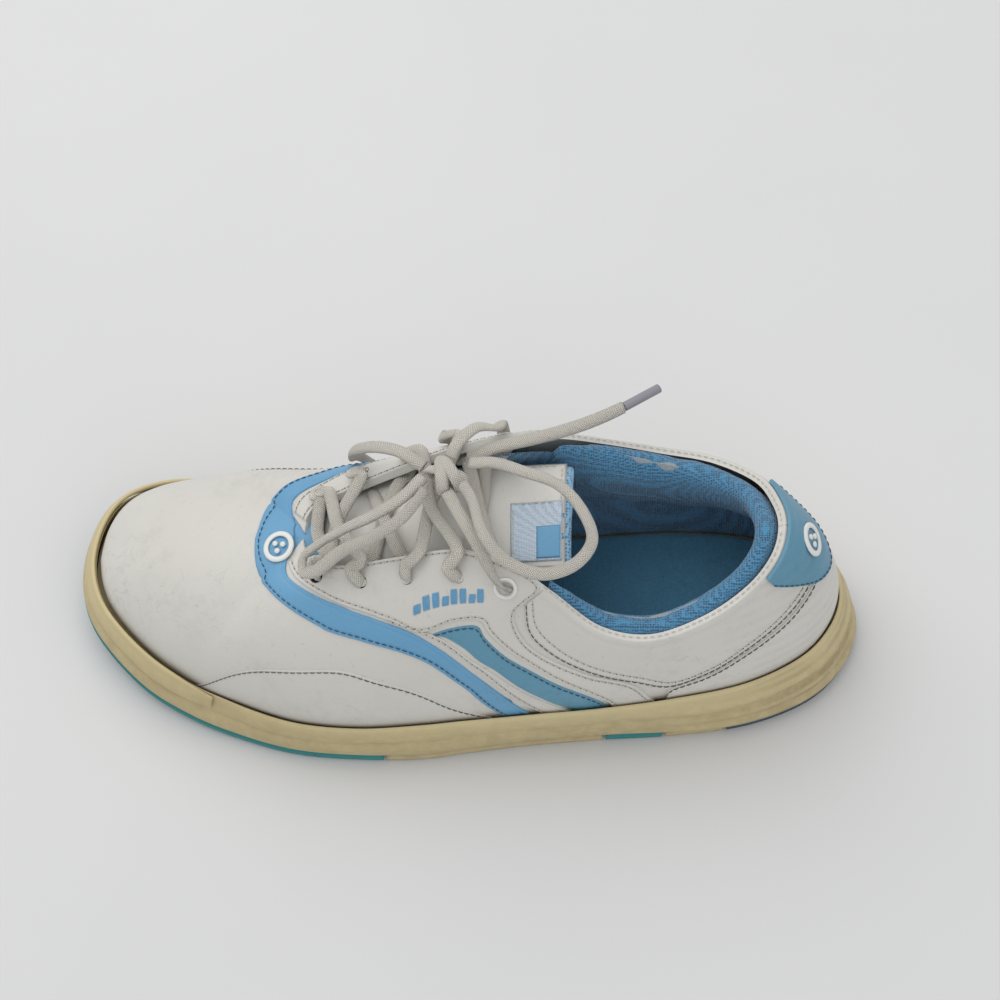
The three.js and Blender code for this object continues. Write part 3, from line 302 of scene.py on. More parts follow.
        def one(which: Side) -> Array:
            """Normal of one side's own patch.

            Args:
                which: Side of the patch.

            Returns:
                The normals.
            """
            ahead = self.point(which, np.clip(t + e, 0, TOE_ROW), v)
            behind = self.point(which, np.clip(t - e, 0, TOE_ROW), v)
            up = self.point(which, t, np.clip(v + e, 0, 1))
            down = self.point(which, t, np.clip(v - e, 0, 1))
            return unit(np.cross(up - down, ahead - behind) * -which.value)

        u = np.clip(t - THROAT_ROW, 0.01, TOE_ROW - THROAT_ROW - 0.01)
        run = unit(catmull(self.spine, u + 0.01) - catmull(self.spine, u - 0.01))
        flat = unit(np.stack([-run[..., 1], run[..., 0], np.zeros_like(u)], -1))
        ridge = np.cross(run, flat)
        ridge = np.where(ridge[..., 2:] < 0, -ridge, ridge)
        n = one(side)
        at_seam = ((t <= 1e-6) | (t >= TOE_ROW - 1e-6))[..., None]
        n = np.where(at_seam, unit(n + one(other)), n)
        near_spine = (smooth(0.985, 1.0, v) * (t >= THROAT_ROW))[..., None]
        return unit(n * (1 - near_spine) + ridge * near_spine)

    def place(self, corner: Corner, out: Array = 0.0) -> Array:
        """Points over the last.

        Args:
            corner: Medial mask, rows and heights. Negative rows are past the heel.
            out: Distance from the last, outward.

        Returns:
            Points in millimetres about the stations' own origin.
        """
        medial, t, v = np.broadcast_arrays(*corner)
        medial = medial ^ (t < 0)
        t, v = np.abs(t), np.clip(v, 0, 1)
        out = np.broadcast_to(np.asarray(out, float), t.shape)[..., None]
        lateral = self.point(Side.LATERAL, t, v) + self.normal(Side.LATERAL, t, v) * out
        inner = self.point(Side.MEDIAL, t, v) + self.normal(Side.MEDIAL, t, v) * out
        return np.where(medial[..., None], inner, lateral)


LAST = Last()


def is_medial(side: Side, like: Array) -> Array:
    """Mask with the shape of like that is true on the medial side."""
    return np.full(np.shape(like), side is Side.MEDIAL)


def seam(points: Sequence[Sequence[float]], s: Array) -> Array:
    """Point (row, height) of a seam at s from 0 to 1."""
    return catmull(points, np.asarray(s, float) * (len(points) - 1))


def strip(side: Side, first: Sequence[Sequence[float]], second: Sequence[Sequence[float]]) -> Surface:
    """Surface between two seams of one side.

    Args:
        side: Side of the shoe.
        first: First seam.
        second: Second seam.

    Returns:
        The surface.
    """

    def at(s: Array, q: Array) -> Corner:
        """Corner at s along the seams and q from the first to the second.

        Args:
            s: Position along, 0 to 1.
            q: Position across, 0 to 1.

        Returns:
            The corner.
        """
        a, b = seam(first, s), seam(second, s)
        mix = a + (b - a) * np.asarray(q)[..., None]
        return is_medial(side, mix[..., 0]), mix[..., 0], mix[..., 1]

    return at


def over_toe(rear: Sequence[Sequence[float]]) -> Surface:
    """Surface over the toe whose rear edge is the same seam on both sides.

    Args:
        rear: Rear seam, from the spine down.

    Returns:
        The surface.
    """

    def at(s: Array, q: Array) -> Corner:
        """Corner at s from the rear edge to the tip and q from lateral to medial.

        Args:
            s: Position along, 0 to 1.
            q: Position across, 0 to 1.

        Returns:
            The corner.
        """
        across = 2 * np.asarray(q, float) - 1
        edge = seam(rear, np.abs(across))
        t = edge[..., 0] + (TOE_ROW - edge[..., 0]) * s
        v = edge[..., 1] + (1 - np.abs(across) - edge[..., 1]) * s
        return across > 0, t, v

    return at


# ---------------------------------------------------------------- meshes
def to_frame(points: Array) -> Array:
    """Station millimetres to metres in the row frame."""
    return (np.asarray(points, float) + FRAME_SHIFT) * MM


def mesh_object(name: str, points: Array, faces: Sequence[Sequence[int]],
                uvs: Optional[Array] = None) -> Thing:
    """New mesh object.

    Args:
        name: Object name.
        points: Vertices in metres in the row frame.
        faces: Vertex indices of each face.
        uvs: One (u, v) for each vertex, or None.

    Returns:
        The linked object.
    """
    mesh = bpy.data.meshes.new(name)
    mesh.from_pydata(np.asarray(points).tolist(), [], [list(f) for f in faces])
    mesh.validate()
    if uvs is not None:
        layer = mesh.uv_layers.new(name="UVMap")
        index = np.empty(len(mesh.loops), int)
        mesh.loops.foreach_get("vertex_index", index)
        layer.data.foreach_set("uv", np.asarray(uvs, float)[index].ravel())
    mesh.polygons.foreach_set("use_smooth", [True] * len(mesh.polygons))
    mesh.update()
    obj = bpy.data.objects.new(name, mesh)
    bpy.context.scene.collection.objects.link(obj)
    return obj


def grid_faces(rows: int, columns: int, closed_rows: bool = False, closed_columns: bool = False) -> list:
    """Quads of a grid of rows by columns vertices.

    Args:
        rows: Number of rows.
        columns: Number of columns.
        closed_rows: True to join the last row to the first.
        closed_columns: True to join the last column to the first.

    Returns:
        Vertex indices of each face.
    """
    faces = []
    for i in range(rows if closed_rows else rows - 1):
        for j in range(columns if closed_columns else columns - 1):
            a, b = i * columns + j, ((i + 1) % rows) * columns + j
            c, d = ((i + 1) % rows) * columns + (j + 1) % columns, i * columns + (j + 1) % columns
            faces.append((a, b, c, d))
    return faces


def face_outward(obj: Thing) -> None:
    """Makes the faces of a mesh agree and point outward.

    Args:
        obj: The piece.
    """
    work = bmesh.new()
    work.from_mesh(obj.data)
    bmesh.ops.remove_doubles(work, verts=work.verts, dist=2e-6)
    bmesh.ops.recalc_face_normals(work, faces=work.faces)
    work.to_mesh(obj.data)
    work.free()


def lengths_along(points: Array) -> Array:
    """Running length along the first axis of a line of points."""
    steps = np.linalg.norm(np.diff(points, axis=0), axis=-1)
    return np.concatenate([[0], np.cumsum(steps)])


# ---------------------------------------------------------------- shader building blocks
class Socket(Enum):
    """Socket types used by the shader groups."""

    NUMBER = "NodeSocketFloat"
    VECTOR = "NodeSocketVector"


class Graph:
    """Short hand for building a node tree."""

    def __init__(self, tree: Tree) -> None:
        """Starts on an empty tree."""
        self.tree = tree
        self.tree.nodes.clear()

    def add(self, kind: str, options: Optional[dict] = None, **inputs: object) -> Node:
        """Adds a node.

        Args:
            kind: Node type without the ShaderNode prefix.
            options: Node properties to set.
            **inputs: Socket names (spaces as underscores) or _0, _1 for numbered ones, each with a
                value or an output socket to link from.

        Returns:
            The new node.
        """
        prefix = "" if kind.startswith("Node") else "ShaderNode"
        node = self.tree.nodes.new(prefix + kind)
        for key, value in (options or {}).items():
            setattr(node, key, value)
        for key, value in inputs.items():
            target = node.inputs[int(key[1:])] if key[1:].isdigit() else node.inputs[key.replace("_", " ")]
            if isinstance(value, Output):
                self.tree.links.new(value, target)
            else:
                target.default_value = value
        return node

    def math(self, operation: str, a: object, b: object = 0.0) -> Output:
        """Result of one Math node."""
        return self.add("Math", {"operation": operation}, _0=a, _1=b).outputs[0]

    def band(self, value: object, low: float, high: float, to_low: float = 0.0,
             to_high: float = 1.0) -> Output:
        """Smooth remapping of a value from low..high to to_low..to_high.

        Args:
            value: Number or output to remap.
            low: Where the range starts.
            high: Where the range ends.
            to_low: Result at low.
            to_high: Result at high.

        Returns:
            The result.
        """
        node = self.add("MapRange", {"interpolation_type": "SMOOTHSTEP"}, Value=value, From_Min=low,
                        From_Max=high, To_Min=to_low, To_Max=to_high)
        return node.outputs["Result"]

    def mix(self, factor: object, a: object, b: object, blend: str = "MIX") -> Output:
        """Mix of two colours.

        Args:
            factor: Share of b.
            a: First colour.
            b: Second colour.
            blend: Blend type.

        Returns:
            The mixed colour.
        """
        node = self.add("Mix", {"data_type": "RGBA", "blend_type": blend})
        for index, value in ((0, factor), (6, a), (7, b)):
            if isinstance(value, Output):
                self.tree.links.new(value, node.inputs[index])
            else:
                node.inputs[index].default_value = value
        return node.outputs[2]

    def noise(self, vector: object, scale: float, detail: float = 3.0,
              rough: float = 0.55) -> Output:
        """Noise value of a vector."""
        node = self.add("TexNoise", Vector=vector, Scale=scale, Detail=detail, Roughness=rough)
        return node.outputs[0]


def colour(hex_code: int) -> tuple[float, float, float, float]:
    """Linear colour of an sRGB hex code.

    Args:
        hex_code: Colour as 0xRRGGBB.

    Returns:
        Red, green, blue and 1.
    """
    parts = [((hex_code >> shift) & 255) / 255 for shift in (16, 8, 0)]
    linear = [c / 12.92 if c <= 0.04045 else ((c + 0.055) / 1.055) ** 2.4 for c in parts]
    return (*linear, 1.0)


class Effects:
    """Shader groups shared by several finishes, each built once."""

    def __init__(self) -> None:
        """Starts with no groups."""
        self._groups: dict[str, Tree] = {}

    def _new(self, name: str, inputs: Sequence[tuple[str, Socket, object]],
             outputs: Sequence[tuple[str, Socket]]) -> tuple[Graph, Node, Node]:
        """Makes an empty group with its interface.

        Args:
            name: Group name.
            inputs: Name, type and default of each input.
            outputs: Name and type of each output.

        Returns:
            The graph and its input and output nodes.
        """
        tree = bpy.data.node_groups.new(name, "ShaderNodeTree")
        for label, kind, default in inputs:
            item = tree.interface.new_socket(label, in_out="INPUT", socket_type=kind.value)
            if default is not None:
                item.default_value = default
        for label, kind in outputs:
            tree.interface.new_socket(label, in_out="OUTPUT", socket_type=kind.value)
        self._groups[name] = tree
        graph = Graph(tree)
        return graph, graph.add("NodeGroupInput"), graph.add("NodeGroupOutput")

    def grain(self) -> Tree:
        """Leather pores and creases: outputs Height and Crease.

        Returns:
            The group.
        """
        if "Leather Grain" not in self._groups:
            g, start, end = self._new("Leather Grain",
                                      [("Vector", Socket.VECTOR, None), ("Scale", Socket.NUMBER, 1.0)],
                                      [("Height", Socket.NUMBER), ("Crease", Socket.NUMBER)])
            v = g.add("VectorMath", {"operation": "SCALE"}, _0=start.outputs["Vector"],
                      Scale=start.outputs["Scale"]).outputs[0]
            cells = g.add("TexVoronoi", {"feature": "DISTANCE_TO_EDGE"}, Vector=v, Scale=1100.0,
                          Randomness=1.0).outputs["Distance"]
            pores = g.band(cells, 0.0, 0.12)
            soft = g.noise(v, 160.0, 4.0)
            warp = g.add("VectorMath", {"operation": "ADD"}, _0=v, _1=g.add(
                "VectorMath", {"operation": "SCALE"}, _0=g.add("TexNoise", Vector=v,
                                                               Scale=30.0).outputs[1],
                Scale=0.02).outputs[0]).outputs[0]
            ridge = g.math("ABSOLUTE", g.math("SUBTRACT", g.noise(warp, 70.0, 5.0, 0.6), 0.5))
            crease = g.math("MULTIPLY", g.band(ridge, 0.0, 0.012, 1.0, 0.0),
                            g.band(g.noise(v, 22.0, 2.0), 0.5, 0.66))
            height = g.math("ADD", g.math("MULTIPLY", pores, 0.35), g.math("MULTIPLY", soft, 0.65))
            g.tree.links.new(g.math("SUBTRACT", height, g.math("MULTIPLY", crease, 0.25)),
                             end.inputs["Height"])
            g.tree.links.new(crease, end.inputs["Crease"])
        return self._groups["Leather Grain"]

    def grime(self) -> Tree:
        """Dirt in patches and fine specks: outputs Patches, Specks, Low and Heel.

        Returns:
            The group.
        """
        if "Grime" not in self._groups:
            g, start, end = self._new("Grime", [("Vector", Socket.VECTOR, None)],
                                      [("Patches", Socket.NUMBER), ("Specks", Socket.NUMBER),
                                       ("Low", Socket.NUMBER), ("Heel", Socket.NUMBER)])
            v = start.outputs["Vector"]
            broad = g.noise(v, 26.0, 6.0, 0.6)
            fine = g.noise(v, 190.0, 5.0, 0.7)
            patches = g.math("MULTIPLY", g.band(broad, 0.48, 0.72), g.band(fine, 0.35, 0.7))
            specks = g.band(g.noise(v, 420.0, 2.0), 0.66, 0.74)
            axes = g.add("SeparateXYZ", Vector=v)
            low = g.math("MULTIPLY", g.band(axes.outputs["Z"], 0.012, 0.03, 1.0, 0.0),
                         g.band(fine, 0.2, 0.7, 0.3, 1.0))
            rib = g.band(g.math("SINE", g.math("MULTIPLY", axes.outputs["Z"], 1450.0)), -0.6, 0.9, 0.25, 1.0)
            streak = g.math("MULTIPLY", rib, g.band(g.noise(v, 60.0, 5.0, 0.7), 0.3, 0.7, 0.2, 1.0))
            heel = g.math("MULTIPLY", g.band(axes.outputs["X"], 0.07, 0.125), streak)
            for label, value in (("Patches", patches), ("Specks", specks), ("Low", low), ("Heel", heel)):
                g.tree.links.new(value, end.inputs[label])
        return self._groups["Grime"]

    def knit(self) -> Tree:
        """Spacer knit with small holes: outputs Height and a mask of painted shade in the holes.

        Returns:
            The group.
        """
        if "Knit" not in self._groups:
            g, start, end = self._new("Knit", [("Vector", Socket.VECTOR, None),
                                               ("Pitch", Socket.NUMBER, 700.0)],
                                      [("Height", Socket.NUMBER), ("Hole", Socket.NUMBER)])
            cells = g.add("TexVoronoi", Vector=start.outputs["Vector"],
                          Scale=start.outputs["Pitch"], Randomness=0.3).outputs["Distance"]
            fibre = g.noise(start.outputs["Vector"], 2600.0, 2.0)
            # Mask of the knit holes, used to paint shade into them.
            hole_shade = g.band(cells, 0.22, 0.5, 1.0, 0.0)
            height = g.math("ADD", g.math("MULTIPLY", g.band(cells, 0.1, 0.6), 0.8),
                            g.math("MULTIPLY", fibre, 0.2))
            g.tree.links.new(height, end.inputs["Height"])
            g.tree.links.new(hole_shade, end.inputs["Hole"])
        return self._groups["Knit"]

    def braid(self) -> Tree:
        """Plaited yarns from UVs in millimetres: outputs Height and a mask of painted shade between the
        yarns.

        Returns:
            The group.
        """
        if "Braid" not in self._groups:
            g, start, end = self._new("Braid", [("UV", Socket.VECTOR, None),
                                                ("Pitch", Socket.NUMBER, 1.5)],
                                      [("Height", Socket.NUMBER), ("Gap Shade", Socket.NUMBER)])
            axes = g.add("SeparateXYZ", Vector=start.outputs["UV"])
            per = g.math("DIVIDE", 6.28318, start.outputs["Pitch"])
            plus = g.math("MULTIPLY", g.math("ADD", axes.outputs[0], axes.outputs[1]), per)
            minus = g.math("MULTIPLY", g.math("SUBTRACT", axes.outputs[0], axes.outputs[1]), per)
            one, two = g.math("SINE", plus), g.math("SINE", minus)
            height = g.math("MULTIPLY", g.math("ADD", g.math("ABSOLUTE", one),
                                               g.math("ABSOLUTE", two)), 0.5)
            g.tree.links.new(height, end.inputs["Height"])
            # Mask of the sunken gaps between the yarns, used to paint shade into them.
            g.tree.links.new(g.band(height, 0.15, 0.6, 1.0, 0.0), end.inputs["Gap Shade"])
        return self._groups["Braid"]


EFFECTS = Effects()


class Look(Enum):
    """Kinds of surface the finishes describe."""

    LEATHER = "leather"
    KNIT = "knit"
    LACE = "lace"
    RUBBER = "rubber"
    NAP = "nap"
    THREAD = "thread"
    PLASTIC = "plastic"
    FLOOR = "floor"


@dataclass(frozen=True)
class Finish:
    """One material: its colours and how strongly each effect shows."""

    name: str
    look: Look
    base: int
    # Second colour: where soiling, wear and random tone lean, and also the painted shade in knit holes and
    # between lace yarns.
    dirt_and_shade: int = 0x6E6757
    rough: float = 0.5
    grime: float = 0.3
    low: float = 0.1
    bump: float = 0.3
    pitch: float = 700.0
    spots: float = 0.0

    def material(self) -> bpy.types.Material:
        """The material, built on first use.

        Returns:
            The material.
        """
        found = bpy.data.materials.get(self.name)
        if found:
            return found
        made = bpy.data.materials.new(self.name)
        made.use_nodes = True
        made.diffuse_color = colour(self.base)
        graph = Graph(made.node_tree)
        coords = graph.add("TexCoord")
        builder = {
            Look.LEATHER: self._leather, Look.KNIT: self._knit, Look.LACE: self._lace,
            Look.RUBBER: self._rubber, Look.NAP: self._nap, Look.THREAD: self._thread,
            Look.PLASTIC: self._plastic, Look.FLOOR: self._floor,
        }[self.look]
        shader = builder(graph, coords.outputs["Object"])
        out = graph.add("OutputMaterial")
        graph.tree.links.new(shader.outputs[0], out.inputs["Surface"])
        return made

    def _group(self, graph: Graph, tree: Tree, **inputs: object) -> Node:
        """A group node with its inputs set.

        Args:
            graph: Node tree to build in.
            tree: Group to use.
            **inputs: Values or outputs by input name.

        Returns:
            The group node.
        """
        node = graph.add("Group", {"node_tree": tree})
        for key, value in inputs.items():
            if isinstance(value, Output):
                graph.tree.links.new(value, node.inputs[key])
            else:
                node.inputs[key].default_value = value
        return node

    def _soiled(self, graph: Graph, base: object, where: object) -> tuple[object, Node]:
        """Base colour with tone variation and soiling, and the grime node behind it.

        Args:
            graph: Node tree to build in.
            base: Clean colour.
            where: Object coordinates.

        Returns:
            The soiled colour and the grime node.
        """
        grime = self._group(graph, EFFECTS.grime(), Vector=where)
        tone = graph.noise(where, 12.0, 4.0)
        light = graph.mix(graph.band(tone, 0.3, 0.7, 0.0, 0.16), base, colour(0xFFFFFF), "SOFT_LIGHT")
        patch = graph.math("MULTIPLY", grime.outputs["Patches"], self.grime)
        speck = graph.math("MULTIPLY", grime.outputs["Specks"], self.grime * 0.7)
        low = graph.math("MULTIPLY", grime.outputs["Low"], self.low)
        heel = graph.math("MULTIPLY", grime.outputs["Heel"], self.low * 1.2)
        amount = graph.math("ADD", graph.math("ADD", patch, speck), graph.math("ADD", low, heel))
        amount = graph.math("MINIMUM", amount, 0.8)
        return graph.mix(amount, light, colour(self.dirt_and_shade)), grime

    def _bump(self, graph: Graph, height: object, distance: float) -> object:
        """Bump normal of a height in metres."""
        return graph.add("Bump", Strength=self.bump, Distance=distance,
                         Height=height).outputs["Normal"]

    def _leather(self, graph: Graph, where: object) -> Node:
        """Smooth grained leather with a thin finish.

        Args:
            graph: Node tree to build in.
            where: Object coordinates.

        Returns:
            The shader node.
        """
        grain = self._group(graph, EFFECTS.grain(), Vector=where, Scale=1.0)
        tint, grime = self._soiled(graph, colour(self.base), where)
        worn = graph.math("MULTIPLY", grain.outputs["Crease"], 0.14 + 0.2 * self.grime)
        base = graph.mix(worn, tint, colour(self.dirt_and_shade))
        rough = graph.math("ADD", self.rough - 0.06, graph.math("MULTIPLY", grime.outputs["Patches"], 0.2))
        return graph.add("BsdfPrincipled", Base_Color=base, Roughness=rough,
                         Coat_Weight=0.12, Coat_Roughness=0.35, Subsurface_Weight=0.03,
                         Subsurface_Radius=(0.0015, 0.001, 0.0008),
                         Normal=self._bump(graph, grain.outputs["Height"], 0.0004))

    def _knit(self, graph: Graph, where: object) -> Node:
        """Knitted lining with a soft sheen, and painted shade darkening its holes.

        Args:
            graph: Node tree to build in.
            where: Object coordinates.

        Returns:
            The shader node.
        """
        knit = self._group(graph, EFFECTS.knit(), Vector=where, Pitch=self.pitch)
        tint, _grime = self._soiled(graph, colour(self.base), where)
        # Painted shade: the knit holes are darkened towards the second colour.
        base = graph.mix(graph.math("MULTIPLY", knit.outputs["Hole"], 0.75), tint, colour(self.dirt_and_shade))
        return graph.add("BsdfPrincipled", Base_Color=base, Roughness=self.rough,
                         Sheen_Weight=0.35, Sheen_Roughness=0.5, Specular_IOR_Level=0.25,
                         Normal=self._bump(graph, knit.outputs["Height"], 0.0007))

    def _lace(self, graph: Graph, where: object) -> Node:
        """Plaited lace, with painted shade between its yarns.

        Args:
            graph: Node tree to build in.
            where: Object coordinates.

        Returns:
            The shader node.
        """
        braid = self._group(graph, EFFECTS.braid(), UV=graph.add("TexCoord").outputs["UV"])
        tint, _grime = self._soiled(graph, colour(self.base), where)
        # Painted shade: the gaps between the yarns are darkened towards the second colour.
        base = graph.mix(graph.math("MULTIPLY", braid.outputs["Gap Shade"], 0.45), tint, colour(self.dirt_and_shade))
        return graph.add("BsdfPrincipled", Base_Color=base, Roughness=self.rough,
                         Sheen_Weight=0.3, Sheen_Roughness=0.4, Specular_IOR_Level=0.2,
                         Normal=self._bump(graph, braid.outputs["Height"], 0.0008))

    def _rubber(self, graph: Graph, where: object) -> Node:
        """Moulded rubber with scuffs, and paint spots where asked.

        Args:
            graph: Node tree to build in.
            where: Object coordinates.

        Returns:
            The shader node.
        """
        tint, grime = self._soiled(graph, colour(self.base), where)
        stipple = graph.noise(where, 900.0, 3.0)
        scuff = graph.band(graph.noise(where, 70.0, 8.0, 0.75), 0.58, 0.7)
        worn = graph.mix(graph.math("MULTIPLY", scuff, 0.35 * self.grime), tint, colour(self.dirt_and_shade))
        if self.spots:
            blobs = graph.add("TexVoronoi", Vector=where, Scale=70.0, Randomness=1.0)
            chance = graph.add("SeparateColor", Color=blobs.outputs["Color"]).outputs[0]
            ragged = graph.math("ADD", blobs.outputs["Distance"],
                                graph.math("MULTIPLY", graph.noise(where, 260.0, 4.0), 0.5))
            near = graph.band(ragged, 0.5, 0.56, 1.0, 0.0)
            paint = graph.math("MULTIPLY", near, graph.band(chance, 1 - self.spots, 1.01 - self.spots))
            worn = graph.mix(paint, worn, colour(0xE9E6DC))
        rough = graph.math("ADD", self.rough, graph.math("MULTIPLY", grime.outputs["Patches"], 0.15))
        return graph.add("BsdfPrincipled", Base_Color=worn, Roughness=rough, Specular_IOR_Level=0.4,
                         Normal=self._bump(graph, stipple, 0.0003))

    def _nap(self, graph: Graph, where: object) -> Node:
        """Brushed nap such as the slide pad or the footbed cloth.

        Args:
            graph: Node tree to build in.
            where: Object coordinates.

        Returns:
            The shader node.
        """
        tint, _grime = self._soiled(graph, colour(self.base), where)
        fuzz = graph.noise(where, 1500.0, 4.0, 0.7)
        base = graph.mix(graph.band(fuzz, 0.35, 0.65, 0.0, 0.3), tint, colour(self.dirt_and_shade))
        return graph.add("BsdfPrincipled", Base_Color=base, Roughness=self.rough,
                         Sheen_Weight=0.25, Specular_IOR_Level=0.15,
                         Normal=self._bump(graph, fuzz, 0.0004))

    def _thread(self, graph: Graph, where: object) -> Node:
        """Sewing thread.

        Args:
            graph: Node tree to build in.
            where: Object coordinates.

        Returns:
            The shader node.
        """
        twist = graph.noise(where, 2400.0, 2.0)
        base = graph.mix(graph.band(twist, 0.3, 0.7, 0.0, 0.4), colour(self.base), colour(self.dirt_and_shade))
        return graph.add("BsdfPrincipled", Base_Color=base, Roughness=self.rough,
                         Sheen_Weight=0.3, Normal=self._bump(graph, twist, 0.0002))

    def _plastic(self, graph: Graph, where: object) -> Node:
        """Moulded plastic or a raised print with fine scratches.

        Args:
            graph: Node tree to build in.
            where: Object coordinates.

        Returns:
            The shader node.
        """
        tint, grime = self._soiled(graph, colour(self.base), where)
        fine = graph.noise(where, 700.0, 5.0)
        rough = graph.math("ADD", self.rough, graph.math("MULTIPLY", grime.outputs["Patches"], 0.25))
        return graph.add("BsdfPrincipled", Base_Color=tint, Roughness=rough,
                         Normal=self._bump(graph, fine, 0.0001))

    def _floor(self, graph: Graph, where: object) -> Node:
        """Plain pale floor.

        Args:
            graph: Node tree to build in.
            where: Object coordinates.

        Returns:
            The shader node.
        """
        tone = graph.noise(where, 3.0, 4.0)
        base = graph.mix(graph.band(tone, 0.3, 0.7, 0.0, 0.25), colour(self.base), colour(self.dirt_and_shade))
        return graph.add("BsdfPrincipled", Base_Color=base, Roughness=self.rough,
                         Specular_IOR_Level=0.3)


LEATHER = Finish("white_leather", Look.LEATHER, 0xD3D0C9, 0x7F7B74, 0.46, 0.2, 0.16, 0.3)
TRIM = Finish("blue_leather", Look.LEATHER, 0x659FC6, 0x2F4E66, 0.5, 0.2, 0.1, 0.35)
TAB = Finish("teal_leather", Look.LEATHER, 0x5A91AB, 0x324C58, 0.5, 0.25, 0.1, 0.35)
MESH = Finish("blue_knit", Look.KNIT, 0x4E89B0, 0x28587E, 0.85, 0.12, 0.0, 1.0, 1250.0)
PALE_MESH = Finish("pale_blue_knit", Look.KNIT, 0x86B4D4, 0x3F6E92, 0.85, 0.1, 0.0, 0.8, 950.0)
SOCK = Finish("footbed_cloth", Look.NAP, 0x4B7C97, 0x234055, 0.9, 0.2, 0.0, 0.6)
FOAM = Finish("padding_foam", Look.NAP, 0x9AA3A8, 0x5A6066, 1.0, 0.1, 0.0, 0.4)
FIBRE = Finish("fibre_board", Look.NAP, 0xB9A889, 0x6C5F48, 0.9, 0.2, 0.0, 0.4)
CREAM = Finish("cream_rubber", Look.RUBBER, 0xCDBD90, 0x6B5334, 0.5, 0.05, 0.3, 0.3, spots=0.04)
TEAL = Finish("teal_rubber", Look.RUBBER, 0x3A8B8C, 0x1D3436, 0.6, 0.3, 0.1, 0.3)
SLATE = Finish("slate_rubber", Look.RUBBER, 0x3F5560, 0x20282D, 0.6, 0.3, 0.1, 0.3)
WORN = Finish("worn_rubber", Look.RUBBER, 0xA8A291, 0x4E493F, 0.85, 0.6, 0.2, 0.4)
SLIDE = Finish("slide_nap", Look.NAP, 0x7C7670, 0x3B3733, 1.0, 0.6, 0.2, 0.5)
LACE = Finish("white_lace", Look.LACE, 0xF9F3E6, 0x8A8272, 0.9, 0.1, 0.0, 1.0)
AGLET = Finish("lace_tip_film", Look.PLASTIC, 0x8D8A92, 0x55534F, 0.25, 0.1, 0.0, 0.2)
WHITE = Finish("white_badge", Look.PLASTIC, 0xE6E6E2, 0x8C877C, 0.45, 0.12, 0.0, 0.3)
LABEL = Finish("pale_label", Look.KNIT, 0xC4D2E0, 0x8FA6BC, 0.7, 0.1, 0.0, 0.4, 1900.0)
STITCH = Finish("pale_thread", Look.THREAD, 0xCBC8BF, 0x8A857B, 0.7)
# Dark thread, also used for the painted shade at the needle holes of the pale seams.
DARK_STITCH_AND_HOLE_SHADE = Finish("dark_thread_and_hole_shade", Look.THREAD, 0x5B5347, 0x37322B, 0.7)
NAVY_STITCH = Finish("navy_thread", Look.THREAD, 0x2C4C66, 0x182C40, 0.7)
SKY_THREAD = Finish("sky_thread", Look.THREAD, 0x6FA9CF, 0x3F7399, 0.5)
# Near-black cloth for the lace-hole discs: painted shade, not a colour of the shoe.
HOLE_SHADE = Finish("hole_painted_shade", Look.NAP, 0x1A1917, 0x0C0B0A, 1.0, 0.0, 0.0, 0.2)
FLOOR = Finish("studio_floor", Look.FLOOR, 0xDCDCDC, 0xCDCDCD, 0.75)


def dress(obj: Thing, finish: Finish, body: str = SHOE,
          nodes: Sequence[str] = ()) -> Thing:
    """Gives a piece its finish, its body and the CAD nodes it stands for.

    Args:
        obj: The piece.
        finish: Its finish.
        body: Body it rides on.
        nodes: CAD nodes it stands for.

    Returns:
        The same piece.
    """
    obj.data.materials.clear()
    obj.data.materials.append(finish.material())
    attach(obj, body)
    if nodes:
        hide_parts(*nodes)
    return obj


# ---------------------------------------------------------------- stitches
@dataclass
class Stitches:
    """Sewing stitches collected into one mesh."""

    name: str
    finish: Finish
    body: str = SHOE
    points: list = field(default_factory=list)
    faces: list = field(default_factory=list)

    def one(self, start: Array, end: Array, normal: Array, radius: float) -> None:
        """Adds one stitch between two points of a surface.

        Args:
            start: Start point.
            end: End point.
            normal: Surface normal.
            radius: Thread radius.
        """
        along = unit(end - start)
        side = unit(np.cross(normal, along))
        up = np.cross(along, side)
        base = len(self.points)
        stations = [(0.0, 0.35), (0.14, 0.85), (0.5, 1.0), (0.86, 0.85), (1.0, 0.35)]
        for f, size in stations:
            centre = start + (end - start) * f + up * radius * (1.3 * 4 * f * (1 - f) - 0.6)
            for k in range(6):
                a = math.pi * k / 3
                self.points.append(centre + (side * math.cos(a) + up * math.sin(a)) * radius * size)
        for i in range(len(stations) - 1):
            for k in range(6):
                a, b = base + i * 6 + k, base + i * 6 + (k + 1) % 6
                self.faces.append((a, b, b + 6, a + 6))
        self.faces.append(tuple(base + k for k in range(5, -1, -1)))
        self.faces.append(tuple(base + (len(stations) - 1) * 6 + k for k in range(6)))

    def run(self, line: Array, normals: Array, length: float = 1.8, pitch: float = 2.3,
            radius: float = 0.2, offset: float = 0.2) -> None:
        """Adds stitches all along a line.

        Args:
            line: Points of the line, in order.
            normals: Surface normal at each point.
            length: Length of one stitch in millimetres.
            pitch: Distance from one stitch to the next.
            radius: Thread radius.
            offset: Where the first stitch starts.
        """
        total = lengths_along(line)
        count = int(total[-1] / pitch)
        for k in range(count):
            ends = [np.array([np.interp(k * pitch + d, total, line[:, i]) for i in range(3)])
                    for d in (offset, offset + length)]
            normal = unit(np.array([np.interp(k * pitch, total, normals[:, i]) for i in range(3)]))
            self.one(ends[0], ends[1], normal, radius)

    def build(self) -> None:
        """Makes the mesh of all the stitches."""
        if self.points:
            dress(mesh_object(self.name, to_frame(self.points), self.faces), self.finish, self.body)


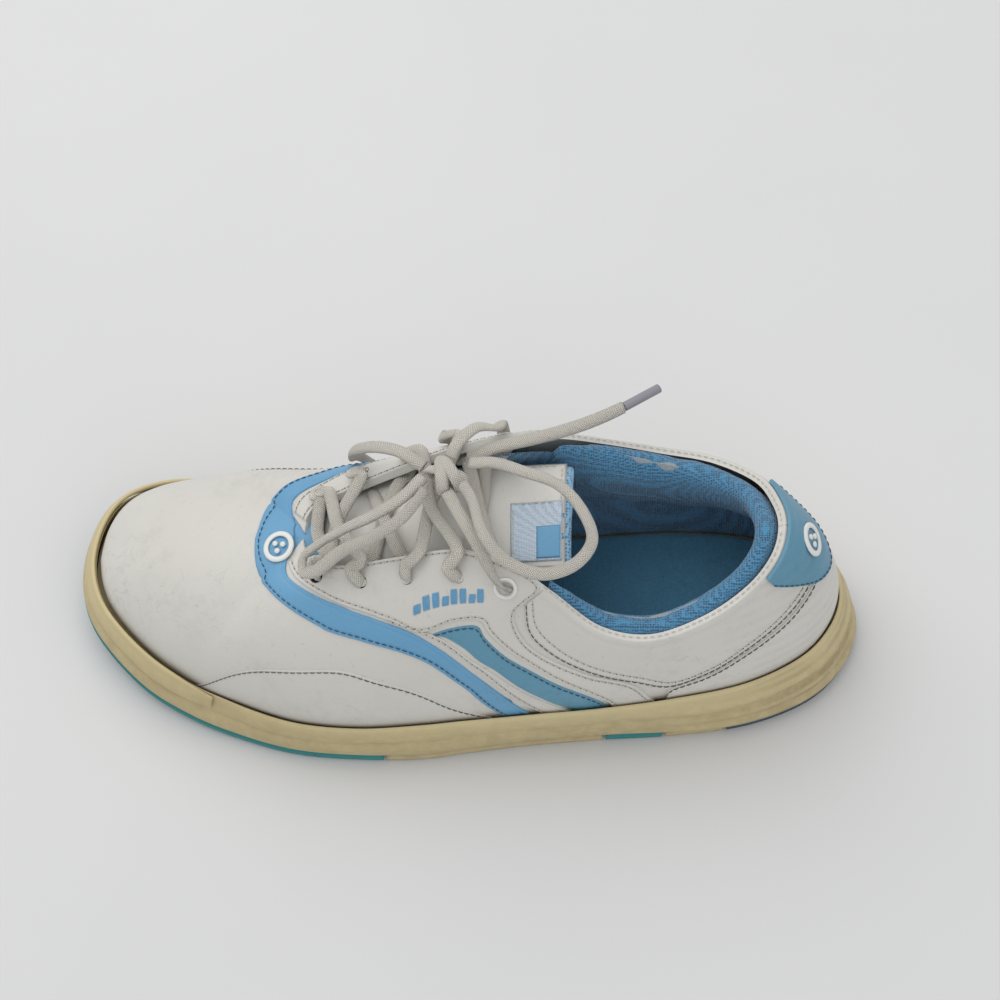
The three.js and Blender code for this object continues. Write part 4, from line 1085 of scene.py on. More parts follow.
# ---------------------------------------------------------------- leather panels
@dataclass
class Panel:
    """A sewn panel over the last, with rounded edges and sunk stitch lines."""

    name: str
    at: Surface
    inner: float
    outer: float
    finish: Finish
    slot: str
    nodes: tuple = ()
    rows: int = 90
    columns: int = 10
    puff: float = 0.3
    grooves: tuple = ()
    free_ends: bool = True

    EDGE = (0.0, 0.3, 0.8, 1.4, 2.0, 2.6, 3.4, 4.6)

    def _widths(self, s: Array) -> Array:
        """Width of the panel at each s, in millimetres.

        Args:
            s: Position along, 0 to 1.

        Returns:
            The widths.
        """
        q = np.linspace(0, 1, 9)
        grid = LAST.place(self.at(s[:, None] + 0 * q, q + 0 * s[:, None]))
        return np.linalg.norm(np.diff(grid, axis=1), axis=-1).sum(1)

    def _length(self) -> float:
        """Length of the panel along its middle."""
        s = np.linspace(0, 1, 40)
        return float(lengths_along(LAST.place(self.at(s, 0.5 + 0 * s)))[-1])

    def _samples(self, s_rows: Array, widths: Array) -> Array:
        """Positions across the panel for each row, closer together near the edges.

        Args:
            s_rows: Rows; not used.
            widths: Width at each row.

        Returns:
            One row of positions for each row.
        """
        edge = np.array(self.EDGE)
        scale = np.minimum(1, 0.42 * widths / edge[-1])[:, None]
        left = edge[None, :] * scale / widths[:, None]
        middle = np.linspace(0, 1, self.columns + 2)[1:-1]
        low, high = left[:, -1:], 1 - left[:, -1:]
        return np.hstack([left, low + (high - low) * middle[None, :], 1 - left[:, ::-1]])

    def build(self) -> Thing:
        """Makes the panel's mesh.

        Returns:
            The panel.
        """
        length = self._length()
        ends = np.array(self.EDGE) / length
        inside = np.linspace(ends[-1], 1 - ends[-1], self.rows)[1:-1]
        s = np.concatenate([ends, inside, 1 - ends[::-1]]) if self.free_ends else np.linspace(
            0, 1, self.rows)
        widths = np.maximum(self._widths(s), 0.05)
        q = self._samples(s, widths)
        grid_s = np.repeat(s[:, None], q.shape[1], 1)
        across = np.minimum(q, 1 - q) * widths[:, None]
        lengthwise = np.minimum(grid_s, 1 - grid_s) * length
        depth = np.minimum(across, lengthwise) if self.free_ends else across
        out = self.outer - 0.35 * (1 - np.clip(depth / 0.7, 0, 1)) ** 2
        out = out + self.puff * smooth(2.2, 9.0, depth)
        for groove in self.grooves:
            out = out - 0.22 * np.exp(-(((across - groove) / 0.45) ** 2))
        corner = self.at(grid_s, q)
        points = LAST.place(corner, out)
        rim = LAST.place(corner, self.inner)
        full = np.empty((points.shape[0] + 2, points.shape[1] + 2, 3))
        full[1:-1, 1:-1] = points
        full[0, 1:-1], full[-1, 1:-1] = rim[0], rim[-1]
        full[1:-1, 0], full[1:-1, -1] = rim[:, 0], rim[:, -1]
        for i, j in ((0, 0), (0, -1), (-1, 0), (-1, -1)):
            full[i, j] = rim[i, j]
        rows, columns = full.shape[:2]
        obj = mesh_object(self.name, to_frame(full.reshape(-1, 3)), grid_faces(rows, columns))
        face_outward(obj)
        self._point_outward(obj, corner)
        return dress(obj, self.finish, SHOE, self.nodes)

    @staticmethod
    def _point_outward(obj: Thing, corner: Corner) -> None:
        """Turns the faces if the middle of the panel looks inward.

        Args:
            obj: The piece.
            corner: Grid of the panel.
        """
        medial, t, v = (np.asarray(a) for a in corner)
        i, j = t.shape[0] // 2, t.shape[1] // 2
        pick = (medial[i:i + 1, j], t[i:i + 1, j], v[i:i + 1, j])
        centre = LAST.place(pick)[0]
        normal = LAST.place(pick, 1.0)[0] - centre
        spot = Vector(to_frame(centre).tolist())
        nearest = min(obj.data.polygons, key=lambda f: (f.center - spot).length)
        if nearest.normal.dot(Vector(normal.tolist())) < 0:
            obj.data.flip_normals()

    def line(self, edge: str, distance: float, start: float = 0.0, end: float = 1.0) -> tuple[Array, Array]:
        """Line along one edge of the panel.

        Args:
            edge: "first" or "second" seam, or "start" or "end" of the strip.
            distance: Millimetres in from that edge.
            start: Where the line starts, from 0 to 1.
            end: Where the line ends, from 0 to 1.

        Returns:
            Points just above the panel and the normals there.
        """
        f = np.linspace(start, end, 240)
        if edge in ("first", "second"):
            inset = distance / np.maximum(self._widths(f), 2 * distance)
            corner = self.at(f, inset if edge == "first" else 1 - inset)
        else:
            inset = distance / self._length()
            corner = self.at(np.full_like(f, inset if edge == "start" else 1 - inset), f)
        low = LAST.place(corner, self.outer - 0.02)
        return low, unit(LAST.place(corner, self.outer + 1) - low)


VAMP_REAR = [[12.42, 1], [12.1, 0.86], [11, 0.79], [9.9, 0.72], [8.8, 0.62], [7.7, 0.485], [6.9, 0.35],
             [6.35, 0.19], [6.1, 0]]
QUARTER_TOP = [[0, 1], [1.5, 1], [3, 1], [4.5, 1], [5.7, 1], [6.6, 1], [7.3, 1], [8, 1], [8.8, 1],
               [9.6, 1], [10.5, 1], [11.3, 1], [11.9, 1]]
QUARTER_FOOT = [[0, 0], [1, 0], [2.2, 0], [3.6, 0], [4.9, 0], [5.95, 0.02], [6.2, 0.2], [6.75, 0.36],
                [7.55, 0.5], [8.65, 0.635], [9.75, 0.735], [10.8, 0.8], [11.75, 0.855]]
SIDE_PANEL_TOP = [[12, 0], [11, 0.29], [10.3, 0.41], [9.4, 0.45], [8.6, 0.37], [7.75, 0.26], [6.85, 0.1],
                  [6.5, 0]]
BAND_OUTER = [[12.75, 1], [12.58, 0.926], [12.4, 0.857], [12.2, 0.794], [11.96, 0.745], [11.55, 0.757],
              [11.19, 0.762], [10.87, 0.756], [10.61, 0.744], [10.37, 0.728], [10.14, 0.71],
              [9.92, 0.689], [9.7, 0.662], [9.11, 0.606], [8.63, 0.556], [8.25, 0.51], [7.85, 0.459],
              [7.43, 0.396], [7.02, 0.32], [6.74, 0.227], [6.51, 0.133], [6.32, 0.04]]
BAND_INNER = [[12.14, 1], [12.03, 0.938], [11.84, 0.906], [11.61, 0.884], [11.34, 0.87], [11.03, 0.867],
              [10.73, 0.861], [10.47, 0.849], [10.24, 0.835], [10.02, 0.82], [9.8, 0.802], [9.59, 0.78],
              [9.4, 0.755], [8.85, 0.692], [8.37, 0.627], [7.95, 0.565], [7.55, 0.513], [7.14, 0.452],
              [6.75, 0.375], [6.41, 0.279], [6.14, 0.165], [5.92, 0.04]]
EYESTAY_TOP = [[11.5, 1], [10.7, 1], [9.8, 1], [8.7, 1], [7.7, 1], [6.9, 1], [6.27, 1], [6.6, 0.82],
               [6.35, 0.7], [5.9, 0.61], [5.15, 0.53], [4.5, 0.39], [4.2, 0]]
EYESTAY_FOOT = [[11.6, 0.9], [10.8, 0.882], [10, 0.83], [8.83, 0.705], [8.2, 0.62], [7.7, 0.675],
                [7.2, 0.71], [6.93, 0.66], [6.5, 0.59], [5.85, 0.49], [5.2, 0.33], [4.87, 0.15], [4.78, 0]]
FLAP_FRONT = [[8.83, 0.705], [8.1, 0.61], [7.35, 0.52], [6.66, 0.39], [6.12, 0.22], [5.82, 0.08], [5.74, 0]]
FLAP_REAR = [[8.2, 0.62], [7.85, 0.6], [7.2, 0.52], [6.5, 0.41], [5.88, 0.24], [5.5, 0.09], [5.35, 0]]
STRIPE_TOP = [[7.95, 0.61], [7.65, 0.645], [7.2, 0.68], [6.96, 0.63], [6.53, 0.555], [5.9, 0.455],
              [5.27, 0.3], [4.95, 0.14], [4.86, 0]]
STRIPE_FOOT = [[7.9, 0.605], [7.65, 0.595], [7.25, 0.555], [6.95, 0.505], [6.5, 0.435], [5.87, 0.265],
               [5.58, 0.155], [5.4, 0.08], [5.27, 0]]
COLLAR_TOP = [[6.15, 1], [5.6, 1], [5, 1], [4.4, 1], [3.8, 1], [3.2, 1], [2.6, 1], [2, 1], [1.3, 1],
              [0.6, 1], [0, 1]]
COLLAR_FOOT = [[6.45, 0.86], [6.2, 0.72], [5.75, 0.63], [5.1, 0.55], [4.45, 0.42], [4, 0.27],
               [3.45, 0.36], [2.8, 0.49], [2, 0.57], [1, 0.62], [0, 0.635]]
COUNTER_HALF = [[4.05, 0.02], [3.98, 0.21], [3.5, 0.31], [2.85, 0.45], [2.05, 0.53], [1, 0.585], [0, 0.6]]
TAB_FOOT = [[1.6, 0.9], [1.3, 0.76], [0.85, 0.6], [0.4, 0.52], [0, 0.49], [-0.4, 0.52], [-0.95, 0.6],
            [-1.35, 0.76], [-1.7, 0.9]]
EYELETS = [[10.5, 0.93], [9.45, 0.9], [8.65, 0.885], [7.8, 0.88], [6.95, 0.9]]


class Upper:
    """The leather upper: vamp, quarters and the panels sewn over them."""

    def __init__(self) -> None:
        """Prepares the thread collections."""
        self.pale = Stitches("upper_stitches", STITCH)
        self.dark = Stitches("upper_dark_stitches", DARK_STITCH_AND_HOLE_SHADE)
        self.navy = Stitches("upper_navy_stitches", NAVY_STITCH)

    def _sew(self, line: Array, normals: Array) -> None:
        """Pale stitches with a short dark stub between each two: painted shade where the needle holes are."""
        self.pale.run(line, normals, 1.5, 2.3, 0.2)
        # Painted shade: a short dark stub stands for each needle opening.
        self.dark.run(line, normals, 0.6, 2.3, 0.16, 1.55)

    def build(self) -> None:
        """Makes every panel and its stitching."""
        self._base()
        self._band()
        for side in Side:
            self._side(side)
        self._heel()
        self.pale.build()
        self.dark.build()
        self.navy.build()

    def _base(self) -> None:
        """Vamp and quarters."""
        Panel("vamp_leather", over_toe(VAMP_REAR), -3.0, -0.85, LEATHER, "leather", ("vamp",), 90, 150,
              puff=0.1, free_ends=False).build()
        for side in Side:
            name = side.name.lower()
            Panel(f"quarter_leather_{name}", strip(side, QUARTER_TOP, QUARTER_FOOT), -3.0, -0.85, LEATHER,
                  "leather", (f"quarter_{name}",), 150, 30, puff=0.05, free_ends=False).build()

    def _band(self) -> None:
        """Blue trim band round the throat, in one piece."""

        def at(s: Array, q: Array) -> Corner:
            """Corner at s round the throat from the lateral to the medial end.

            Args:
                s: Position along, 0 to 1.
                q: Position across, 0 to 1.

            Returns:
                The corner.
            """
            across = 2 * np.asarray(s, float) - 1
            a, b = seam(BAND_OUTER, np.abs(across)), seam(BAND_INNER, np.abs(across))
            mix = a + (b - a) * np.asarray(q)[..., None]
            return across > 0, mix[..., 0], mix[..., 1]

        band = Panel("trim_band_leather", at, -1.2, 0.0, TRIM, "trim", ("trim_band",), 240, 8, puff=0.15,
                     grooves=(1.5,))
        band.build()
        self.navy.run(*band.line("first", 1.5))

    def _side(self, side: Side) -> None:
        """Panels of one side.

        Args:
            side: Side of the shoe.
        """
        name = side.name.lower()
        lower = [[t, 0] for t, _ in SIDE_PANEL_TOP]
        low = Panel(f"side_panel_leather_{name}", strip(side, SIDE_PANEL_TOP, lower), -1.2, -0.35, LEATHER,
                    "leather", (f"side_panel_{name}",), 100, 14, grooves=(0.7,), puff=0.0, free_ends=False)
        low.build()
        self.dark.run(*low.line("first", 0.7), 2.0)
        stay = Panel(f"eyestay_leather_{name}", strip(side, EYESTAY_TOP, EYESTAY_FOOT), -1.2, 0.0, LEATHER,
                     "leather", (f"eyestay_{name}",), 170, 14, grooves=(1.4,))
        stay.build()
        self._sew(*stay.line("first", 1.4))
        self._sew(*stay.line("second", 1.4))
        flap = Panel(f"eyestay_flap_{name}", strip(side, FLAP_FRONT, FLAP_REAR), -1.2, 0.0, LEATHER,
                     "leather", (), 90, 6, grooves=(1.4,), puff=0.1)
        flap.build()
        self._sew(*flap.line("first", 1.4))
        stripe = Panel(f"side_stripe_leather_{name}", strip(side, STRIPE_TOP, STRIPE_FOOT), -1.2, -0.25, TAB,
                       "tab", (f"side_stripe_{name}",), 90, 8, grooves=(1.0,))
        stripe.build()
        self.navy.run(*stripe.line("first", 1.0))
        collar = Panel(f"collar_panel_leather_{name}", strip(side, COLLAR_TOP, COLLAR_FOOT), -1.2, 0.0,
                       LEATHER, "leather", (f"collar_panel_{name}",), 130, 16, grooves=(0.6, 3.2))
        collar.build()
        self._sew(*collar.line("second", 3.2))
        self.dark.run(*collar.line("second", 0.6), 2.0)

    def _heel(self) -> None:
        """Counter panel and heel tab."""
        back = [[-t, v] for t, v in COUNTER_HALF[:-1]][::-1]
        top = [*COUNTER_HALF, *back]
        counter = Panel("heel_counter_leather", strip(Side.LATERAL, top, [[t, 0] for t, _ in top]), -1.2, 0.0,
                        LEATHER, "leather", ("heel_counter_panel",), 150, 20, grooves=(0.7,),
                        free_ends=False)
        counter.build()
        self.dark.run(*counter.line("first", 0.7, 0.02, 0.98), 2.0)
        tab = Panel("heel_tab_leather", strip(Side.LATERAL, [[t, 0.99] for t, _ in TAB_FOOT], TAB_FOOT), 0.1,
                    1.5, TAB, "tab", ("heel_tab",), 90, 24, puff=0.4, grooves=(1.2,))
        tab.build()
        self.navy.run(*tab.line("second", 1.2))


# ---------------------------------------------------------------- sole
@dataclass
class Sweep:
    """A section swept along a row of stations."""

    name: str
    finish: Finish
    slot: str
    nodes: tuple
    closed: bool = False

    def build(self, sections: Array) -> Thing:
        """Makes the mesh from sections of shape (count, points, 3).

        Args:
            sections: Points of each section.

        Returns:
            The piece.
        """
        count, size = sections.shape[:2]
        faces = grid_faces(count, size, self.closed, True)
        if not self.closed:
            faces += [tuple(range(size)), tuple((count - 1) * size + k for k in range(size - 1, -1, -1))]
        obj = mesh_object(self.name, to_frame(sections.reshape(-1, 3)), faces)
        face_outward(obj)
        return dress(obj, self.finish, SHOE, self.nodes)


def rounded(profile: Sequence[Sequence[float]], times: int = 3) -> Array:
    """Closed profile with its corners cut again and again.

    Args:
        profile: Corners of the profile.
        times: Number of passes.

    Returns:
        The new corners.
    """
    p = np.asarray(profile, float)
    for _ in range(times):
        after = np.roll(p, -1, 0)
        p = np.stack([0.75 * p + 0.25 * after, 0.25 * p + 0.75 * after], 1).reshape(-1, p.shape[1])
    return p


def spring(x: Array) -> Array:
    """Lift of the outsole under the toe."""
    return TOE_SPRING * np.clip((-55 - np.asarray(x)) / 80, 0, 1) ** 2


class Sole:
    """Side wall, toe bumper, outsole edges and footbed."""

    WALL = [
        [0, 0, 0.6, 0], [0.1, 0.9, 2.4, 0.9], [0.22, 1.5, 0.9, 1.5], [0.34, 1.8, 2.8, 1.8],
        [0.46, 1.6, 1.2, 1.4], [0.5, 1.0, 1.6, 1.1], [0.6, 2.2, 3.4, 1.1], [0.8, 2.6, 1.8, 1.1],
        [0.96, 2.5, 2.6, 1.1], [1, 1.9, 2.0, 1.0], [1, 0.6, 0.6, 0.6], [0.5, -0.6, -0.8, -0.6],
        [0, -4, -4, -4],
    ]
    BUMPER = [[0.56, 1.7], [0.62, 2.9], [0.85, 3.3], [1.05, 2.9], [1.16, 2.1], [1.16, 1.0], [1.04, 0.9],
              [1.04, 1.6]]

    def _ring(self, w: Array, k: Array, out: Array) -> Array:
        """Points of the wall; w runs from 0 at the heel, 1 at the toe, to 2 at the heel.

        Args:
            w: Position round the wall.
            k: Share of the way up.
            out: Distance outward.

        Returns:
            The points.
        """
        k = np.broadcast_to(k, np.broadcast_shapes(w.shape, k.shape)).astype(float)
        out = np.broadcast_to(out, k.shape)
        t = np.broadcast_to(np.where(w < 1, w, 2 - w) * TOE_ROW, k.shape)
        mask = np.broadcast_to(w > 1, k.shape)[..., None]
        ends = []
        for key in ("sole", "feather"):
            lateral = LAST.outline(Side.LATERAL, key, t, out)
            medial = LAST.outline(Side.MEDIAL, key, t, out)
            ends.append(np.where(mask, medial, lateral))
        mix = np.clip(k, 0, 1)[..., None]
        xy = ends[0] + (ends[1] - ends[0]) * mix
        low = spring(ends[0][..., 0]) + WALL_FOOT
        high = LAST.feather_height(ends[1][..., 0]) + WALL_LIP
        return np.concatenate([xy, (low + (high - low) * k)[..., None]], -1)

    def build(self) -> None:
        """Makes the parts of the sole that show."""
        self._wall()
        self._bumper()
        self._edges()
        self._footbed()
        for node, finish in (("midsole_core", CREAM), ("insole_board", FIBRE), ("slide_pad", SLIDE),
                             ("outsole_waist", SLATE), ("outsole_heel_pad", WORN), ("toe_puff", FIBRE),
                             ("heel_stiffener", FIBRE), ("vamp_lining", MESH), ("collar_foam", FOAM),
                             ("tongue_foam", FOAM)):
            repaint(node, finish)

    def _wall(self) -> None:
        """Cream side wall with its ridge, and ribs round the heel."""
        profile = rounded(self.WALL, 3)
        w = np.linspace(0, 2, 420, endpoint=False)[:, None]
        t = np.where(w < 1, w, 2 - w) * TOE_ROW
        heel, toe = smooth(4.6, 3.4, t), smooth(10.6, 11.3, t)
        out = profile[None, :, 1] * (1 - heel) + profile[None, :, 2] * heel
        out = out * (1 - toe) + profile[None, :, 3] * toe
        Sweep("sidewall_rubber", CREAM, "cream", ("midsole_sidewall",), True).build(
            self._ring(w, profile[None, :, 0], out))

    def _bumper(self) -> None:
        """Thicker cream bumper over the toe."""
        profile = rounded(self.BUMPER, 2)
        w = np.linspace(-4.6, 4.4, 150)[:, None]
        full = smooth(4.7, 3.4, np.abs(w))
        k = 0.8 + (profile[None, :, 0] - 0.8) * (0.5 + 0.5 * full)
        out = np.minimum(profile[None, :, 1], 2) * (1 - full) + profile[None, :, 1] * full + 0.3 * (1 - full)
        Sweep("toe_bumper_rubber", CREAM, "cream", ("toe_bumper",)).build(self._ring(1 + w / TOE_ROW, k, out))

    def _strip(self, name: str, finish: Finish, slot: str, nodes: tuple, span: tuple[float, float],
               inner: float, lift: float, height: float, side: Side = Side.LATERAL) -> None:
        """One strip of outsole along the edge between two rows.

        Args:
            name: Name of the piece.
            finish: Its finish.
            slot: Material slot; not used.
            nodes: CAD nodes it stands for.
            span: Where it starts and ends.
            inner: Inward reach.
            lift: Height above the floor.
            height: Thickness.
            side: Side of the shoe.
        """
        u = np.linspace(*span, max(12, int(abs(span[1] - span[0]) * 12)))
        past = (u > TOE_ROW) | (u < 0)
        t = np.where(u > TOE_ROW, 2 * TOE_ROW - u, np.abs(u))
        medial = past | (side is Side.MEDIAL)
        profile = rounded([[-0.4, 0], [-0.4, height], [inner, height], [inner, 0]], 1)
        sections = []
        for out, up in profile:
            sides = [LAST.outline(s, "sole", t, np.full_like(t, -out)) for s in Side]
            xy = np.where(medial[:, None], sides[1], sides[0])
            sections.append(np.concatenate([xy, (spring(xy[:, 0]) + lift + up)[:, None]], 1))
        Sweep(name, finish, slot, nodes).build(np.stack(sections, 1))

    def _edges(self) -> None:
        """Rubber edges of the outsole."""
        self._strip("forefoot_rim_rubber", TEAL, "teal", ("outsole_forefoot_rim",), (8.6, 23.4), 9, 0.4, 2.85)
        self._strip("heel_band_rubber", SLATE, "slate", ("outsole_heel_band",), (3.3, -3.3), 13, 0, 3.25)
        for side in Side:
            name = side.name.lower()
            for part, finish, slot, span in (("rear_strip", CREAM, "cream", (3.35, 4.1)),
                                             ("lug", TEAL, "teal", (4.15, 4.9)),
                                             ("front_strip", CREAM, "cream", (4.95, 8.55))):
                self._strip(f"{part}_rubber_{name}", finish, slot, (f"outsole_{part}_{name}",), span, 9,
                            0.4, 2.85, side)

    def _footbed(self) -> None:
        """Cloth-topped footbed, slightly cupped at its edge."""
        s = np.linspace(0, 1, 90)[:, None]
        q = np.linspace(0, 1, 40)[None, :]
        t = s * TOE_ROW + 0 * q
        a = LAST.outline(Side.LATERAL, "feather", t, np.full_like(t, -6.6))
        b = LAST.outline(Side.MEDIAL, "feather", t, np.full_like(t, -6.6))
        xy = a + (b - a) * (q + 0 * s)[..., None]
        edge = np.minimum(q, 1 - q) * np.linalg.norm(b - a, axis=-1)
        end = np.minimum(s, 1 - s) * 235
        cup = 1.6 * np.exp(-(np.minimum(edge, end) / 7) ** 2) * smooth(0, 2.0, np.minimum(edge, end))
        z = LAST.feather_height(xy[..., 0]) + 3.7 + cup - 3.0 * (1 - smooth(0, 2.5, np.minimum(edge, end)))
        grid = np.concatenate([xy, z[..., None]], -1)
        obj = mesh_object("footbed_cloth_top", to_frame(grid.reshape(-1, 3)), grid_faces(90, 40))
        face_outward(obj)
        if sum(f.normal.z * f.area for f in obj.data.polygons) < 0:
            obj.data.flip_normals()
        dress(obj, SOCK, SHOE, ("sock_liner",))


def repaint(node: str, finish: Finish) -> None:
    """Gives a CAD node that still shows its finish.

    Args:
        node: Name of the CAD node.
        finish: The finish.
    """
    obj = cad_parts[node]
    for slot in obj.material_slots:
        slot.material = finish.material()


# ---------------------------------------------------------------- padding
@dataclass
class Pad:
    """A foam-filled piece, blown up a little by a cloth simulation."""

    obj: Thing
    voxel: float
    cap: float
    pressure: float = 4.0

    def inflate(self) -> None:
        """Remeshes the pad, lets it swell, and keeps each point near where it began."""
        remesh = self.obj.modifiers.new("Remesh", "REMESH")
        remesh.mode = "VOXEL"
        remesh.voxel_size = self.voxel
        self._apply("Remesh")
        self._swell()
        relax = self.obj.modifiers.new("Relax", "CORRECTIVE_SMOOTH")
        relax.use_only_smooth = True
        relax.iterations = 4
        self._apply("Relax")
        divide = self.obj.modifiers.new("Divide", "SUBSURF")
        divide.levels = 1
        self._apply("Divide")
        self.obj.data.polygons.foreach_set("use_smooth", [True] * len(self.obj.data.polygons))

    def _apply(self, name: str) -> None:
        """Applies one modifier.

        Args:
            name: Name of the piece.
        """
        with bpy.context.temp_override(object=self.obj, active_object=self.obj,
                                       selected_objects=[self.obj]):
            bpy.ops.object.modifier_apply(modifier=name)

    def _swell(self) -> None:
        """Runs the cloth simulation and applies its result."""
        start = self._positions()
        cloth = self.obj.modifiers.new("Cloth", "CLOTH")
        cloth.settings.use_pressure = True
        cloth.settings.uniform_pressure_force = self.pressure
        cloth.settings.effector_weights.gravity = 0
        cloth.settings.quality = 5
        cloth.point_cache.frame_end = 20
        scene = bpy.context.scene
        for step in range(1, 21):
            scene.frame_set(step)
        self._apply("Cloth")
        scene.frame_set(1)
        moved = self._positions() - start
        far = np.linalg.norm(moved, axis=1, keepdims=True)
        capped = start + moved * np.minimum(1, self.cap / np.maximum(far, 1e-9))
        self.obj.data.vertices.foreach_set("co", capped.ravel())
        self.obj.data.update()

    def _positions(self) -> Array:
        """Vertex positions of the pad.

        Returns:
            One row for each vertex.
        """
        flat = np.empty(len(self.obj.data.vertices) * 3)
        self.obj.data.vertices.foreach_get("co", flat)
        return flat.reshape(-1, 3)


@dataclass
class Collar:
    """Padded knit collar and the lining below it."""

    reach: float = 6.2
    lining_reach: float = 9.4

    def _near_top(self, t: Array, out: Array, up: Array) -> Array:
        """Point by the top line: out from the last, up above (or down below) the top.

        Args:
            t: Rows.
            out: Distance out from the last.
            up: Distance above the top line.

        Returns:
            The points.
        """
        medial, u = t < 0, np.abs(t)
        zero, one = np.zeros_like(u), np.ones_like(u)
        length = np.linalg.norm(LAST.place((medial, u, one)) - LAST.place((medial, u, zero)), axis=-1) * 1.1
        v = np.clip(1 + np.minimum(up, 0) / length, 0.02, 1)
        rise = unit(LAST.place((medial, u, one)) - LAST.place((medial, u, 0.96 * one)))
        return LAST.place((medial, u, v), out) + rise * np.maximum(up, 0)[..., None]

    def build(self) -> None:
        """Makes the padded roll and the lining."""
        t = np.linspace(self.reach, -self.reach, 130)
        full = 0.3 + 0.7 * smooth(6.4, 4.4, np.abs(t))
        deep = -6.4 + (-12.0 + 6.4) * full
        top = 1.5 + (3.6 - 1.5) * full
        back = np.full_like(t, -3.8)

        def mix(f: float) -> Array:
            """Offset between the back and the deep side."""
            return back + (deep - back) * f

        roll = [
            (back, -2 + 0 * t), (back, top - 1.4), (mix(0.25), top - 0.4), (mix(0.55), top),
            (mix(0.87), top - 1.6),
            (deep, -2.5 + 0 * t), (deep, -9 + 0 * t), (-6.4 + (deep + 6.4) * 0.7, -16 + 0 * t),
            (-6.4 + (deep + 6.4) * 0.25, -24 + 0 * t), (-6.3 + 0 * t, -30 + 0 * t), (back, -26 + 0 * t),
            (back, -12 + 0 * t),
        ]
        self._padding(t, roll)
        self._lining(np.linspace(self.lining_reach, -self.lining_reach, 170))
        self._stitching(t)

    def _padding(self, t: Array, roll: Sequence[tuple[Array, Array]]) -> None:
        """The padded roll.

        Args:
            t: Rows.
            roll: Sections of the roll.
        """
        profile = rounded(np.array([[o, u] for o, u in roll]).transpose(0, 2, 1).reshape(len(roll), -1), 2)
        profile = profile.reshape(len(profile), len(t), 2)
        sections = np.stack([self._near_top(t, p[:, 0], p[:, 1]) for p in profile], 1)
        pad = Sweep("collar_padding", MESH, "mesh", ("collar_lining",)).build(sections)
        Pad(pad, 0.0024, 0.0012).inflate()

    def _lining(self, t: Array) -> None:
        """Knit lining down to the footbed.

        Args:
            t: Rows.
        """
        rows = []
        for up in np.linspace(-3, -62, 14):
            share = 1.7 * smooth(-30, -20, np.full_like(t, up)) * smooth(6.4, 4.4, np.abs(t))
            rows.append(self._near_top(t, -6.2 - share, np.full_like(t, up)))
        grid = np.stack(rows, 1)
        obj = mesh_object("collar_lining_cloth", to_frame(grid.reshape(-1, 3)), grid_faces(len(t), 14))
        face_outward(obj)
        dress(obj, MESH, SHOE)

    def _stitching(self, t: Array) -> None:
        """Row of stitches where the knit meets the leather.

        Args:
            t: Rows.
        """
        threads = Stitches("collar_stitches", STITCH)
        for start in (0, 1):
            piece = t[t > 0.05] if start == 0 else t[t < -0.05]
            line = self._near_top(piece, np.full_like(piece, -1.6), np.full_like(piece, 0.4))
            up = np.repeat(np.array([[0.0, 0.0, 1.0]]), len(piece), 0)
            threads.run(line, up, 1.5, 2.3, 0.17)
        threads.build()


